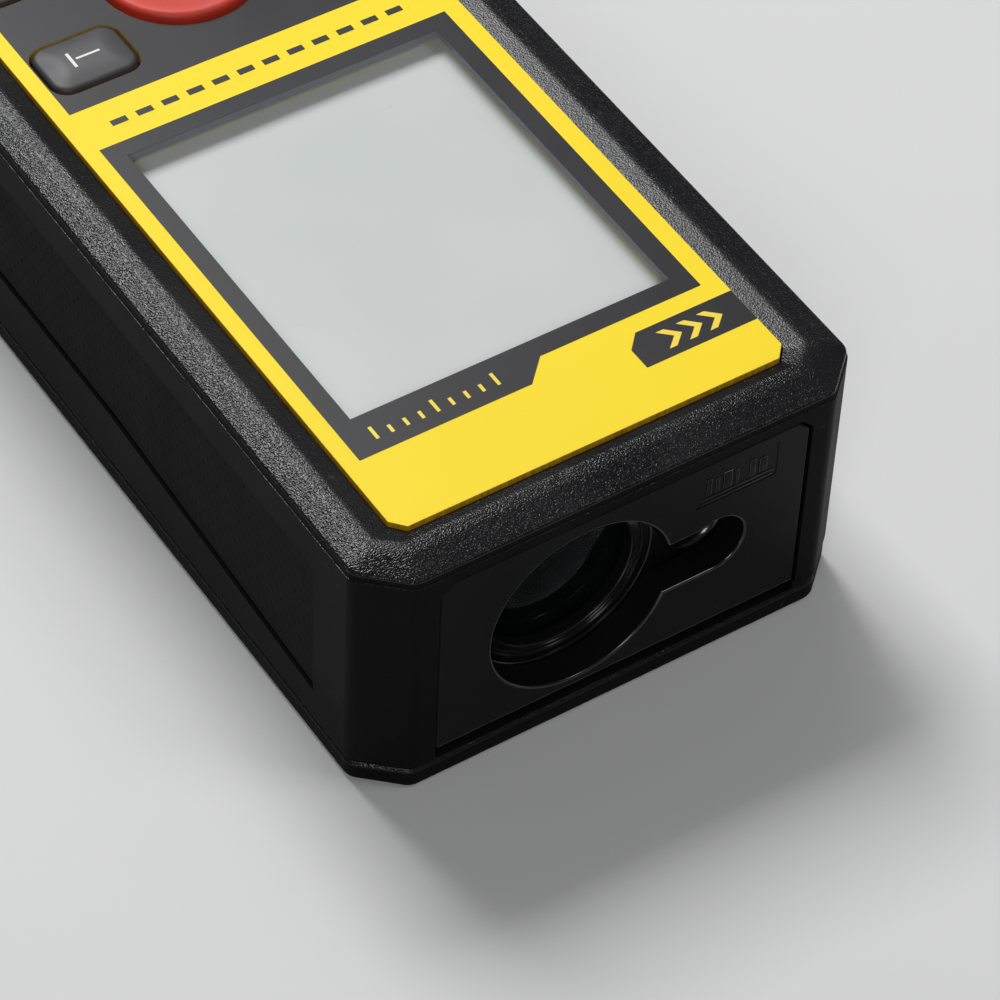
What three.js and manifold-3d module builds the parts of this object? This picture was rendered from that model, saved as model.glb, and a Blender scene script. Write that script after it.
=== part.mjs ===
// Laser distance meter, lying on its back with the display up.
// Millimetres, +Z up. The laser leaves towards -Y. The origin is the middle of the footprint.
// Left and right are the user's, who stands at +Y and looks along -Y: left is +X.

import * as THREE from 'three';
import { mergeVertices } from 'three/addons/utils/BufferGeometryUtils.js';
import Module from 'manifold-3d';

const wasm = await Module();
wasm.setup();

// ---------------------------------------------------------------- driving dimensions

const LENGTH = 112;
const WIDTH = 50;
const FACE_TOP = 27.2; // top of the printed face plate
const GAP = 0.3; // clearance between neighbouring pieces

const HALF = WIDTH / 2;
const LASER_END = -LENGTH / 2;
const HAND_END = LENGTH / 2;
const CORNER = { x: 4.1, y: 3.8 }; // corner chamfer of the case in plan
const CORNER_SHRINK = 2 - Math.SQRT2; // chamfer lost per mm of inset
const EDGE_ROUND = 0.7; // rounding of each plan corner
const WALL = 1.9;

const PARTING = 2.2; // top edge of the rear shell
const SHELL_BOTTOM = PARTING + GAP;
const WALL_TOP = 25.5; // fine step below the bevelled rim
const RIM_EDGE = 26.35; // outer edge of the bevel
const RIDGE = { z: 27.05, side: 3.25, end: 3.83 }; // crest of the rim, inset from the walls
const POCKET = { z: 25.7, lip: 26.75, gap: 0.12 }; // recess that holds the face plate
const DECK_UNDER = 24.2;

const PANEL = { halfWidth: 19.72, inset: 5.2, under: 26.0, chamfer: { x: 1.15, y: 1.3 } };
const WINDOW = { x0: -16.3, x1: 15.85, y0: -38.15, y1: -0.9 };
const LCD = { margin: 1.4, top: 25.4, under: 23.4 };
const BOARD = { top: 21.2, under: 20.0, halfWidth: 19.5, y0: -34, y1: 45 };
const CHIP = { x0: -16, x1: -8, y0: -10, y1: -2, thick: 1.1 };
const BUZZER = { x: 12, y: -5, radius: 4.5, thick: 3.2 };
const MEMBRANE = { top: 22.2, halfWidth: 18, y0: 5.5, y1: 47.5, dome: 2, domeRise: 0.15 };

const BEZEL = { halfWidth: 18.5, z0: 3.9, z1: 24.5, corner: 1.2, depth: 3 };
const LENS = { x: -4.2, z: 13.9, opening: 9.05, radius: 8.4 };
const EMITTER = { x: 9.4, z: 13.7, opening: 3.1 };
const SLOT = { z0: 10.6, z1: 16.3 };
const WARNING_PLATE = { x0: 7, x1: 15.3, z0: 19.4, z1: 23.6, depth: 0.4 };
const CHASSIS_FRONT = LASER_END + BEZEL.depth + GAP;
const CHASSIS = { halfWidth: 15, z0: 3.4, z1: 23.9, thick: 2.2, barrel: 9.6, boss: 4.9, bossEnd: -37 };
const RETAINER = { radius: 9.1, eye: 7.35, inset: 0.1, thick: 1.2 };
const LENS_SEAT = -48.3;
const BARREL_END = -20;
const BARREL_EXIT = 1.8;
const BARREL_BORE = 7.6;
const BARREL_WALL = 0.9;

const APERTURE = { radius: 2.6, lip: 3.0, chamfer: 0.4, thick: 0.8 }; // chassis hole ahead of the laser tube
const LASER_TUBE = { radius: 3.7, bore: 2.7, y0: CHASSIS_FRONT + 1, y1: -36 };
const LASER_LENS = { radius: 2.4, apex: -51.1, sagitta: 0.5, back: -49.6 };
const DIODE = { radius: 2.4, length: 3.6, gap: 0.4 }; // gap: between its tail and the end of the tube
const LASER_BOARD = { half: 4, thick: 0.8, gap: 0.4 };
const RECEIVER_LENS = { apex: -52.4, sagitta: 1.8 };
const FILTER = { radius: 3, thick: 0.8 };
const PHOTODIODE = { radius: 2.7, y0: -18.5, y1: -14.9 };
const RECEIVER_BOARD = { halfWidth: 8, y0: -14.6, thick: 1, z0: 7, z1: 19.4 };

const GRIP = { y0: -46.3, y1: 46.3, z1: 21.5, zEnd: 6.5, zMid: 9.2, recess: 1.1, skin: 0.55, proud: 24.75 };

const CELL = { radius: 5.25, length: 44.5, x: 5.6, z: 7.9, nub: 1.9, nubLength: 0.8 };
const BAY = { halfWidth: 12, y0: 3.0, y1: 51.8, roof: 13.6, wall: 1.3 };
const CONTACT = { half: 4, thick: 0.4, wire: 0.3, base: 3.6, tip: 2.2, turns: 2.5 };
const DOOR = { y0: 2.2, lipWidth: 13, slotWidth: 14.1, lipTop: 0.5, slotTop: 2.0, under: 0.15, top: 1.7 };
const SURROUND = { halfWidth: 16.3, z0: 0.5, z1: 3.4 }; // thickened floor round the door and the screws
const GROOVE = { count: 5, y0: 43, pitch: 1.8, width: 0.8, halfLength: 7, depth: 0.5 };
const LABEL = { halfWidth: 15, y0: -36, y1: -8, under: 0.1, top: 0.4 };

const SHELL_SCREW = { x: 20.6, y: 49.4, head: 1.9, shank: 1.0, top: 11, pillar: 2.6, boss: 2.4 };
const CHASSIS_SCREW = { x: 16.8, y: -43, head: 1.7, shank: 0.9, post: 2.2 };
const EAR = { z0: 5.9, z1: 7.4, y0: -45.5, y1: -40.5, halfWidth: 18.8 };

const KEY_TOP = 27.8;
const KEY_FLANGE = { z0: 23.2, z1: 23.9, rim: 0.7 };
const KEY_SIZE = { width: 8.6, depth: 6.4, corner: 1.6 };
const MEASURE_KEY = { x: 0, y: 18.5, radius: 7.6, top: 28.1 };
const KEYS = [
  { name: 'key_area', x: 13.4, y: 11.8 },
  { name: 'key_reference', x: -13.4, y: 11.8 },
  { name: 'key_plus', x: 13.4, y: 25.2 },
  { name: 'key_minus', x: -13.4, y: 25.2 },
  { name: 'key_memory', x: 12.4, y: 38 },
  { name: 'key_units', x: 0, y: 38 },
  { name: 'key_clear', x: -12.4, y: 38 },
];

// ---------------------------------------------------------------- materials

const FINISH = {
  housing: { color: 0x1c1c1d, roughness: 0.55, metalness: 0 },
  bezel: { color: 0x161617, roughness: 0.5, metalness: 0 },
  grip: { color: 0x222223, roughness: 0.85, metalness: 0 },
  panel: { color: 0xfee44c, roughness: 0.45, metalness: 0 },
  clear: { color: 0xdfe6e4, roughness: 0.05, metalness: 0 },
  display: { color: 0xcdd3d1, roughness: 0.3, metalness: 0 },
  white: { color: 0xe6e6e2, roughness: 0.5, metalness: 0 },
  key: { color: 0x2b2b2d, roughness: 0.7, metalness: 0 },
  measure: { color: 0xd8351f, roughness: 0.6, metalness: 0 },
  rubber: { color: 0x1b1b1b, roughness: 0.9, metalness: 0 },
  board: { color: 0x1d5a33, roughness: 0.5, metalness: 0 },
  chip: { color: 0x161616, roughness: 0.4, metalness: 0 },
  casting: { color: 0x1e1e20, roughness: 0.5, metalness: 0.5 },
  brass: { color: 0x5a5a5c, roughness: 0.35, metalness: 1 },
  steel: { color: 0xa9acb0, roughness: 0.3, metalness: 1 },
  lens: { color: 0x9fd0c4, roughness: 0.02, metalness: 0 },
  cell: { color: 0x2f6f9c, roughness: 0.35, metalness: 0.3 },
  label: { color: 0xb9bcbe, roughness: 0.5, metalness: 0 },
};

const meter = new THREE.Group();

function addPart(name, shape, finish, parent = meter) {
  const geometry = shape.isBufferGeometry ? shape : geometryOf(shape);
  const mesh = new THREE.Mesh(geometry, new THREE.MeshStandardMaterial(FINISH[finish]));
  mesh.name = name;
  parent.add(mesh);
  return mesh;
}

// ---------------------------------------------------------------- solids and booleans

function signedVolume(positions, triangles) {
  const [a, b, c] = [new THREE.Vector3(), new THREE.Vector3(), new THREE.Vector3()];
  let total = 0;
  for (let i = 0; i < triangles.length; i += 3) {
    a.fromArray(positions, 3 * triangles[i]);
    b.fromArray(positions, 3 * triangles[i + 1]);
    c.fromArray(positions, 3 * triangles[i + 2]);
    total += a.dot(b.cross(c));
  }
  return total;
}

function solid(geometry) {
  const bare = geometry.clone();
  bare.deleteAttribute('normal');
  bare.deleteAttribute('uv');
  const welded = mergeVertices(bare, 1e-4);
  const vertProperties = new Float32Array(welded.attributes.position.array);
  const triVerts = new Uint32Array(welded.index.array);
  if (signedVolume(vertProperties, triVerts) < 0) triVerts.reverse();
  return new wasm.Manifold(new wasm.Mesh({ numProp: 3, vertProperties, triVerts }));
}

function geometryOf(manifold) {
  const mesh = manifold.getMesh();
  const geometry = new THREE.BufferGeometry();
  geometry.setAttribute('position', new THREE.BufferAttribute(mesh.vertProperties, 3));
  geometry.setIndex(new THREE.BufferAttribute(mesh.triVerts, 1));
  geometry.computeVertexNormals();
  return geometry;
}

function join(first, ...others) {
  return others.reduce((sum, other) => sum.add(other), first);
}

function cut(first, ...others) {
  return others.reduce((rest, other) => rest.subtract(other), first);
}

// ---------------------------------------------------------------- basic shapes, in place

function box(x0, x1, y0, y1, z0, z1) {
  const geometry = new THREE.BoxGeometry(x1 - x0, y1 - y0, z1 - z0);
  geometry.translate((x0 + x1) / 2, (y0 + y1) / 2, (z0 + z1) / 2);
  return solid(geometry);
}

function cylinderZ(radius, x, y, z0, z1, sides = 24) {
  const geometry = new THREE.CylinderGeometry(radius, radius, z1 - z0, sides);
  geometry.rotateX(Math.PI / 2);
  geometry.translate(x, y, (z0 + z1) / 2);
  return solid(geometry);
}

function cylinderY(radius, x, z, y0, y1, sides = 32) {
  const geometry = new THREE.CylinderGeometry(radius, radius, y1 - y0, sides);
  geometry.translate(x, (y0 + y1) / 2, z);
  return solid(geometry);
}

// Turned about a line parallel to Y. The profile lists [radius, y] and starts and ends on the axis.
function turnedY(profile, x, z, sides = 40) {
  const geometry = new THREE.LatheGeometry(profile.map(([r, y]) => new THREE.Vector2(r, y)), sides);
  geometry.translate(x, 0, z);
  return solid(geometry);
}

// Turned about a vertical line. The profile lists [radius, z].
function turnedZ(profile, x, y, sides = 32) {
  const geometry = new THREE.LatheGeometry(profile.map(([r, z]) => new THREE.Vector2(r, z)), sides);
  geometry.rotateX(Math.PI / 2);
  geometry.translate(x, y, 0);
  return solid(geometry);
}

function prismZ(shape, z0, z1, curveSegments = 6) {
  const geometry = new THREE.ExtrudeGeometry(shape, { depth: z1 - z0, bevelEnabled: false, curveSegments });
  geometry.translate(0, 0, z0);
  return solid(geometry);
}

// A shape drawn in X and Z, given thickness along Y.
function prismY(shape, y0, y1, curveSegments = 6) {
  const geometry = new THREE.ExtrudeGeometry(shape, { depth: y1 - y0, bevelEnabled: false, curveSegments });
  geometry.rotateX(Math.PI / 2);
  geometry.translate(0, y1, 0);
  return solid(geometry);
}

// A shape drawn in Y and Z, given thickness along X.
function prismX(shape, x0, x1) {
  const geometry = new THREE.ExtrudeGeometry(shape, { depth: x1 - x0, bevelEnabled: false });
  geometry.rotateY(Math.PI / 2);
  geometry.rotateX(Math.PI / 2);
  geometry.translate(x0, 0, 0);
  return solid(geometry);
}

function roundedRectangle(x, y, width, depth, corner) {
  const [x0, x1, y0, y1] = [x - width / 2, x + width / 2, y - depth / 2, y + depth / 2];
  const shape = new THREE.Shape();
  shape.moveTo(x0 + corner, y0);
  shape.lineTo(x1 - corner, y0);
  shape.absarc(x1 - corner, y0 + corner, corner, -Math.PI / 2, 0, false);
  shape.lineTo(x1, y1 - corner);
  shape.absarc(x1 - corner, y1 - corner, corner, 0, Math.PI / 2, false);
  shape.lineTo(x0 + corner, y1);
  shape.absarc(x0 + corner, y1 - corner, corner, Math.PI / 2, Math.PI, false);
  shape.lineTo(x0, y0 + corner);
  shape.absarc(x0 + corner, y0 + corner, corner, Math.PI, 1.5 * Math.PI, false);
  return shape;
}

// ---------------------------------------------------------------- plan outline of the case

// The case outline is a rectangle with cut corners, each of its eight corners slightly rounded.
// inset moves the sides in, endInset the two ends.
function caseOutline(inset, endInset = inset) {
  const x = HALF - inset;
  const y = HAND_END - endInset;
  const cx = CORNER.x - CORNER_SHRINK * inset;
  const cy = CORNER.y - CORNER_SHRINK * endInset;
  return softened(cutRectangle(x, y, cx, cy), EDGE_ROUND);
}

// Rectangle with half sizes x and y whose corners are cut by cx and cy.
function cutRectangle(x, y, cx, cy) {
  return [
    [x, -y + cy], [x, y - cy], [x - cx, y], [-x + cx, y],
    [-x, y - cy], [-x, -y + cy], [-x + cx, -y], [x - cx, -y],
  ].map(([px, py]) => new THREE.Vector2(px, py));
}

// Outline of the face plate moved out by grow all round.
function panelCorners(grow) {
  const { halfWidth, inset, chamfer } = PANEL;
  const shift = CORNER_SHRINK * grow;
  return cutRectangle(halfWidth + grow, HAND_END - inset + grow, chamfer.x + shift, chamfer.y + shift);
}

// Replaces each corner of a closed outline by a short quadratic curve.
function softened(corners, reach) {
  const steps = 3;
  return corners.flatMap((corner, i) => {
    const before = corners[(i + corners.length - 1) % corners.length];
    const after = corners[(i + 1) % corners.length];
    const from = corner.clone().lerp(before, Math.min(0.3, reach / corner.distanceTo(before)));
    const to = corner.clone().lerp(after, Math.min(0.3, reach / corner.distanceTo(after)));
    return new THREE.QuadraticBezierCurve(from, corner, to).getPoints(steps);
  });
}

// Skins a stack of outlines with equal point counts. Each level is [outline, z], lowest first.
function loft(levels) {
  const count = levels[0][0].length;
  const positions = [];
  for (const [outline, z] of levels) {
    for (const point of outline) positions.push(point.x, point.y, z);
  }
  const triangles = [];
  for (let level = 0; level < levels.length - 1; level += 1) {
    for (let i = 0; i < count; i += 1) {
      const a = level * count + i;
      const b = level * count + ((i + 1) % count);
      triangles.push(a, b, b + count, a, b + count, a + count);
    }
  }
  const top = (levels.length - 1) * count;
  for (let i = 1; i < count - 1; i += 1) {
    triangles.push(0, i + 1, i);
    triangles.push(top, top + i, top + i + 1);
  }
  const geometry = new THREE.BufferGeometry();
  geometry.setAttribute('position', new THREE.BufferAttribute(new Float32Array(positions), 3));
  geometry.setIndex(triangles);
  return solid(geometry);
}

// ---------------------------------------------------------------- keys

function keyHole(key, gap) {
  const width = KEY_SIZE.width + 2 * gap;
  const depth = KEY_SIZE.depth + 2 * gap;
  return roundedRectangle(key.x, key.y, width, depth, KEY_SIZE.corner + gap);
}

// Openings for every key through a plate between two heights.
function keyHoles(z0, z1) {
  const small = KEYS.map((key) => prismZ(keyHole(key, GAP), z0, z1, 3));
  const large = cylinderZ(MEASURE_KEY.radius + GAP, MEASURE_KEY.x, MEASURE_KEY.y, z0, z1, 36);
  return join(large, ...small);
}

function smallKey(key) {
  const bevel = 0.4;
  const geometry = new THREE.ExtrudeGeometry(keyHole(key, -bevel), {
    depth: KEY_TOP - KEY_FLANGE.z1 - bevel,
    bevelThickness: bevel,
    bevelSize: bevel,
    bevelSegments: 1,
    curveSegments: 3,
  });
  geometry.translate(0, 0, KEY_FLANGE.z1);
  const flange = prismZ(keyHole(key, KEY_FLANGE.rim), KEY_FLANGE.z0, KEY_FLANGE.z1, 3);
  const cap = cut(solid(geometry), box(-HALF, HALF, 0, HAND_END, KEY_FLANGE.z0 - 1, KEY_FLANGE.z1 - 0.2));
  return join(flange, cap);
}

function measureKey() {
  const { radius, top } = MEASURE_KEY;
  const dish = 0.5;
  return turnedZ([
    [0, KEY_FLANGE.z0],
    [radius + KEY_FLANGE.rim, KEY_FLANGE.z0],
    [radius + KEY_FLANGE.rim, KEY_FLANGE.z1],
    [radius, KEY_FLANGE.z1],
    [radius, top - 0.6],
    [radius - 0.25, top - 0.2],
    [radius - 0.8, top],
    [radius * 0.75, top - dish * 0.35],
    [radius * 0.45, top - dish * 0.8],
    [0, top - dish],
  ], MEASURE_KEY.x, MEASURE_KEY.y, 36);
}

function buildKeypad() {
  addPart('measure_button', measureKey(), 'measure');
  for (const key of KEYS) addPart(key.name, smallKey(key), 'key');
  const { top, halfWidth, y0, y1, dome, domeRise } = MEMBRANE;
  const domes = [MEASURE_KEY, ...KEYS].map(({ x, y }) => cylinderZ(dome, x, y, top - 0.2, top + domeRise, 8));
  const sheet = box(-halfWidth, halfWidth, y0, y1, BOARD.top + GAP, top);
  addPart('keypad_membrane', join(sheet, ...domes), 'rubber');
}

// ---------------------------------------------------------------- case

function bezelShape(grow) {
  const { halfWidth, z0, z1, corner } = BEZEL;
  const shape = new THREE.Shape();
  shape.moveTo(-halfWidth - grow, z0 - grow);
  shape.lineTo(halfWidth + grow, z0 - grow);
  shape.lineTo(halfWidth + grow, z1 - corner + grow / 2);
  shape.lineTo(halfWidth - corner + grow / 2, z1 + grow);
  shape.lineTo(-halfWidth + corner - grow / 2, z1 + grow);
  shape.lineTo(-halfWidth - grow, z1 - corner + grow / 2);
  return shape;
}

// The grip's lower edge rises from the ends to the middle.
function gripShape(grow) {
  const { y0, y1, z1, zEnd, zMid } = GRIP;
  const shape = new THREE.Shape();
  shape.moveTo(y0 - grow, zEnd - grow);
  shape.lineTo(-12, zMid - grow);
  shape.lineTo(12, zMid - grow);
  shape.lineTo(y1 + grow, zEnd - grow);
  shape.lineTo(y1 + grow, z1 + grow);
  shape.lineTo(y0 - grow, z1 + grow);
  return shape;
}

function lcdOpening() {
  const m = LCD.margin + 0.6;
  return box(WINDOW.x0 - m, WINDOW.x1 + m, WINDOW.y0 - m, WINDOW.y1 + m, DECK_UNDER - 1, POCKET.z + 1);
}

function shellScrewPlaces() {
  const { x, y } = SHELL_SCREW;
  return [['front_left', x, -y], ['front_right', -x, -y], ['rear_left', x, y], ['rear_right', -x, y]];
}

function frontShell() {
  const pocket = softened(panelCorners(POCKET.gap), POCKET.gap);
  const outer = loft([
    [caseOutline(0.2), SHELL_BOTTOM],
    [caseOutline(0), SHELL_BOTTOM + 0.3],
    [caseOutline(0), WALL_TOP],
    [caseOutline(0.15), WALL_TOP + 0.1],
    [caseOutline(0.25), RIM_EDGE],
    [caseOutline(RIDGE.side, RIDGE.end), RIDGE.z],
    [pocket, POCKET.lip],
    [pocket, POCKET.z],
  ]);
  const cavity = loft([[caseOutline(WALL), SHELL_BOTTOM - 1], [caseOutline(WALL), DECK_UNDER]]);
  const bezelSeat = prismY(bezelShape(GAP), LASER_END - 1, CHASSIS_FRONT);
  const { halfWidth, z0 } = BEZEL;
  const bezelNotch = box(-halfWidth, halfWidth, LASER_END - 1, CHASSIS_FRONT, SHELL_BOTTOM - 1, z0 + 1);
  const gripSeats = [-1, 1].map((side) => {
    const [x0, x1] = [HALF - GRIP.recess, HALF + 1].map((x) => x * side).sort((a, b) => a - b);
    return prismX(gripShape(GAP), x0, x1);
  });
  const hollow = cut(outer, cavity, bezelSeat, bezelNotch, ...gripSeats, lcdOpening());
  const { pillar, shank, top } = SHELL_SCREW;
  const foot = SURROUND.z1 + GAP;
  const pillars = shellScrewPlaces().map(([, x, y]) => cylinderZ(pillar, x, y, foot, DECK_UNDER + 0.5, 16));
  const bores = shellScrewPlaces().map(([, x, y]) => cylinderZ(shank + GAP, x, y, foot - 1, top + 2, 12));
  return cut(join(hollow, ...pillars), ...bores, keyHoles(DECK_UNDER - 1, POCKET.z + 1));
}

function rearShell() {
  const tray = loft([
    [caseOutline(0.5), 0],
    [caseOutline(0.1), 0.4],
    [caseOutline(0.1), PARTING - 0.1],
    [caseOutline(0.2), PARTING],
  ]);
  const { halfWidth, y0, y1, roof, wall } = BAY;
  const floor = SURROUND.z1;
  const surround = box(-SURROUND.halfWidth, SURROUND.halfWidth, y0 - wall, y1 + wall, SURROUND.z0, floor);
  const bay = box(-halfWidth - wall, halfWidth + wall, y0 - wall, y1 + wall, 1, roof + wall);
  const bosses = shellScrewPlaces().map(([, x, y]) => cylinderZ(SHELL_SCREW.boss, x, y, 1, floor, 16));
  const { x: postX, y: postY, post, shank } = CHASSIS_SCREW;
  const posts = [-postX, postX].map((x) => cylinderZ(post, x, postY, 1, EAR.z0 - GAP, 16));
  const postBores = [-postX, postX].map((x) => cylinderZ(shank + GAP, x, postY, 1.6, EAR.z0 + 1, 12));
  const screwBores = shellScrewPlaces().flatMap(([, x, y]) => [
    cylinderZ(SHELL_SCREW.head + GAP, x, y, -1, 1.6, 20),
    cylinderZ(SHELL_SCREW.shank + GAP, x, y, 0, 4, 12),
  ]);
  const { lipWidth, slotWidth, lipTop, slotTop } = DOOR;
  return cut(
    join(tray, surround, bay, ...bosses, ...posts),
    box(-halfWidth, halfWidth, y0, y1, -1, roof),
    box(-lipWidth, lipWidth, DOOR.y0 - GAP, LENGTH, -1, lipTop + 0.1),
    box(-slotWidth, slotWidth, DOOR.y0 - GAP, LENGTH, lipTop, slotTop),
    box(-slotWidth, slotWidth, y1 + wall + GAP, LENGTH, -1, PARTING + 1),
    box(-LABEL.halfWidth - GAP, LABEL.halfWidth + GAP, LABEL.y0 - GAP, LABEL.y1 + GAP, -1, LABEL.top + GAP),
    ...postBores,
    ...screwBores,
  );
}

function batteryDoor() {
  const { y0, lipWidth, slotWidth, lipTop, under, top } = DOOR;
  const y1 = HAND_END - 0.2;
  const behindBay = BAY.y1 + BAY.wall + 2 * GAP;
  const face = box(-lipWidth + GAP, lipWidth - GAP, y0, y1, under, top);
  const tongue = box(-slotWidth + GAP, slotWidth - GAP, y0, y1, lipTop + GAP, top);
  const lip = box(-lipWidth + GAP, lipWidth - GAP, behindBay, y1, under, PARTING - 0.1);
  const grooves = [];
  for (let i = 0; i < GROOVE.count; i += 1) {
    const start = GROOVE.y0 + GROOVE.pitch * i;
    const stop = start + GROOVE.width;
    grooves.push(box(-GROOVE.halfLength, GROOVE.halfLength, start, stop, -1, under + GROOVE.depth));
  }
  return cut(join(face, tongue, lip), ...grooves);
}

function sideGrip(side) {
  const [x0, x1] = [GRIP.proud - GRIP.skin, GRIP.proud].map((x) => x * side).sort((a, b) => a - b);
  return prismX(gripShape(0), x0, x1);
}

function buildCase() {
  addPart('front_shell', frontShell(), 'housing');
  addPart('rear_shell', rearShell(), 'housing');
  addPart('battery_door', batteryDoor(), 'housing');
  addPart('side_grip_left', sideGrip(1), 'grip');
  addPart('side_grip_right', sideGrip(-1), 'grip');
  const { halfWidth, y0, y1, under, top } = LABEL;
  const badge = roundedRectangle(0, (y0 + y1) / 2, 2 * halfWidth, y1 - y0, 1);
  addPart('rear_label', prismZ(badge, under, top), 'label');
  for (const [place, x, y] of shellScrewPlaces()) {
    const { head, shank, top: tip } = SHELL_SCREW;
    const recess = cylinderZ(0.7, x, y, -1, 1, 6);
    const screw = cut(join(cylinderZ(head, x, y, 0.3, 1.3, 20), cylinderZ(shank, x, y, 1, tip, 8)), recess);
    addPart(`shell_screw_${place}`, screw, 'steel');
  }
}

// ---------------------------------------------------------------- face and display

function buildFace() {
  const { x0, x1, y0, y1 } = WINDOW;
  const plate = prismZ(new THREE.Shape(panelCorners(0)), PANEL.under, FACE_TOP);
  const opening = box(x0, x1, y0, y1, PANEL.under - 1, FACE_TOP + 1);
  addPart('face_panel', cut(plate, opening, keyHoles(PANEL.under - 1, FACE_TOP + 1)), 'panel');
  const pane = box(x0 + GAP, x1 - GAP, y0 + GAP, y1 - GAP, PANEL.under + 0.1, FACE_TOP - 0.02);
  addPart('display_window', pane, 'clear');

  const m = LCD.margin;
  const glass = [x0 - m, x1 + m, y0 - m, y1 + m];
  const [gx0, gx1, gy0, gy1] = glass;
  addPart('lcd_glass', box(...glass, LCD.under, LCD.top), 'display');
  addPart('lcd_backlight', box(...glass, BOARD.top + GAP, LCD.under - GAP), 'white');
  const outer = box(gx0 - 1.6, gx1 + 1.6, gy0 - 1.4, gy1 + 1.6, BOARD.top + GAP, DECK_UNDER - GAP);
  const inner = box(gx0 - GAP, gx1 + GAP, gy0 - GAP, gy1 + GAP, BOARD.top - 1, DECK_UNDER + 1);
  addPart('lcd_frame', cut(outer, inner), 'white');
}

// ---------------------------------------------------------------- laser end

// Round receiver opening, and a slot that ends in the round emitter opening.
function keyholeCut(y0, y1) {
  const slot = box(LENS.x, EMITTER.x, y0, y1, SLOT.z0, SLOT.z1);
  const eye = cylinderY(LENS.opening, LENS.x, LENS.z, y0, y1, 56);
  return join(eye, slot, cylinderY(EMITTER.opening, EMITTER.x, EMITTER.z, y0, y1, 32));
}

function frontBezel() {
  const { x0, x1, z0, z1, depth } = WARNING_PLATE;
  const front = LASER_END + 0.05; // a hair behind the case
  return cut(
    prismY(bezelShape(0), front, LASER_END + BEZEL.depth),
    keyholeCut(LASER_END - 1, LASER_END + BEZEL.depth + 1),
    box(x0, x1, front - 1, front + depth, z0, z1),
  );
}

function opticsChassis() {
  const y0 = CHASSIS_FRONT;
  const { halfWidth, z0, z1, thick, barrel: outer, boss, bossEnd } = CHASSIS;
  const shoulder = LENS_SEAT + 0.3;
  const plate = box(-halfWidth, halfWidth, y0, y0 + thick, z0, z1);
  const barrel = turnedY([
    [0, y0 + 1], [outer, y0 + 1], [outer, shoulder], [BARREL_BORE + BARREL_WALL, shoulder],
    [BARREL_EXIT + BARREL_WALL, BARREL_END], [0, BARREL_END],
  ], LENS.x, LENS.z);
  const laserBoss = cylinderY(boss, EMITTER.x, EMITTER.z, y0 + 1, bossEnd);
  const web = box(LENS.x, EMITTER.x, y0 + 1, bossEnd, SLOT.z0 + 0.4, SLOT.z1 - 0.3);
  const ears = box(-EAR.halfWidth, EAR.halfWidth, EAR.y0, EAR.y1, EAR.z0, EAR.z1);
  const ringSeat = y0 + RETAINER.inset + RETAINER.thick + GAP;
  const ringBore = RETAINER.radius + GAP;
  const lensBore = turnedY([
    [0, y0 - 1], [ringBore, y0 - 1], [ringBore, ringSeat],
    [LENS.radius + GAP, ringSeat], [LENS.radius + GAP, LENS_SEAT], [BARREL_BORE, LENS_SEAT],
    [BARREL_EXIT, BARREL_END + 0.01], [BARREL_EXIT, BARREL_END + 1], [0, BARREL_END + 1],
  ], LENS.x, LENS.z, 48);
  const { radius, lip, chamfer, thick: skin } = APERTURE;
  const tubeBore = LASER_TUBE.radius + GAP;
  const laserBore = turnedY([
    [0, y0 - 1], [lip, y0 - 1], [lip, y0], [radius, y0 + chamfer], [radius, y0 + skin],
    [tubeBore, y0 + skin], [tubeBore, bossEnd + 7], [0, bossEnd + 7],
  ], EMITTER.x, EMITTER.z, 32);
  const { x: earX, y: earY, shank } = CHASSIS_SCREW;
  const earBores = [-earX, earX].map((x) => cylinderZ(shank + GAP, x, earY, EAR.z0 - 1, EAR.z1 + 1, 12));
  return cut(join(plate, barrel, laserBoss, web, ears), lensBore, laserBore, ...earBores);
}

// Plano-convex: the dome faces out of the laser end.
function convexLens(place, radius, apex, sagitta, back) {
  const steps = 5;
  const profile = [[0, apex]];
  for (let i = 1; i <= steps; i += 1) {
    const r = radius * (i / steps);
    profile.push([r, apex + sagitta * (r / radius) ** 2]);
  }
  profile.push([radius, back], [0, back]);
  return turnedY(profile, place.x, place.z, 32);
}

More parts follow.
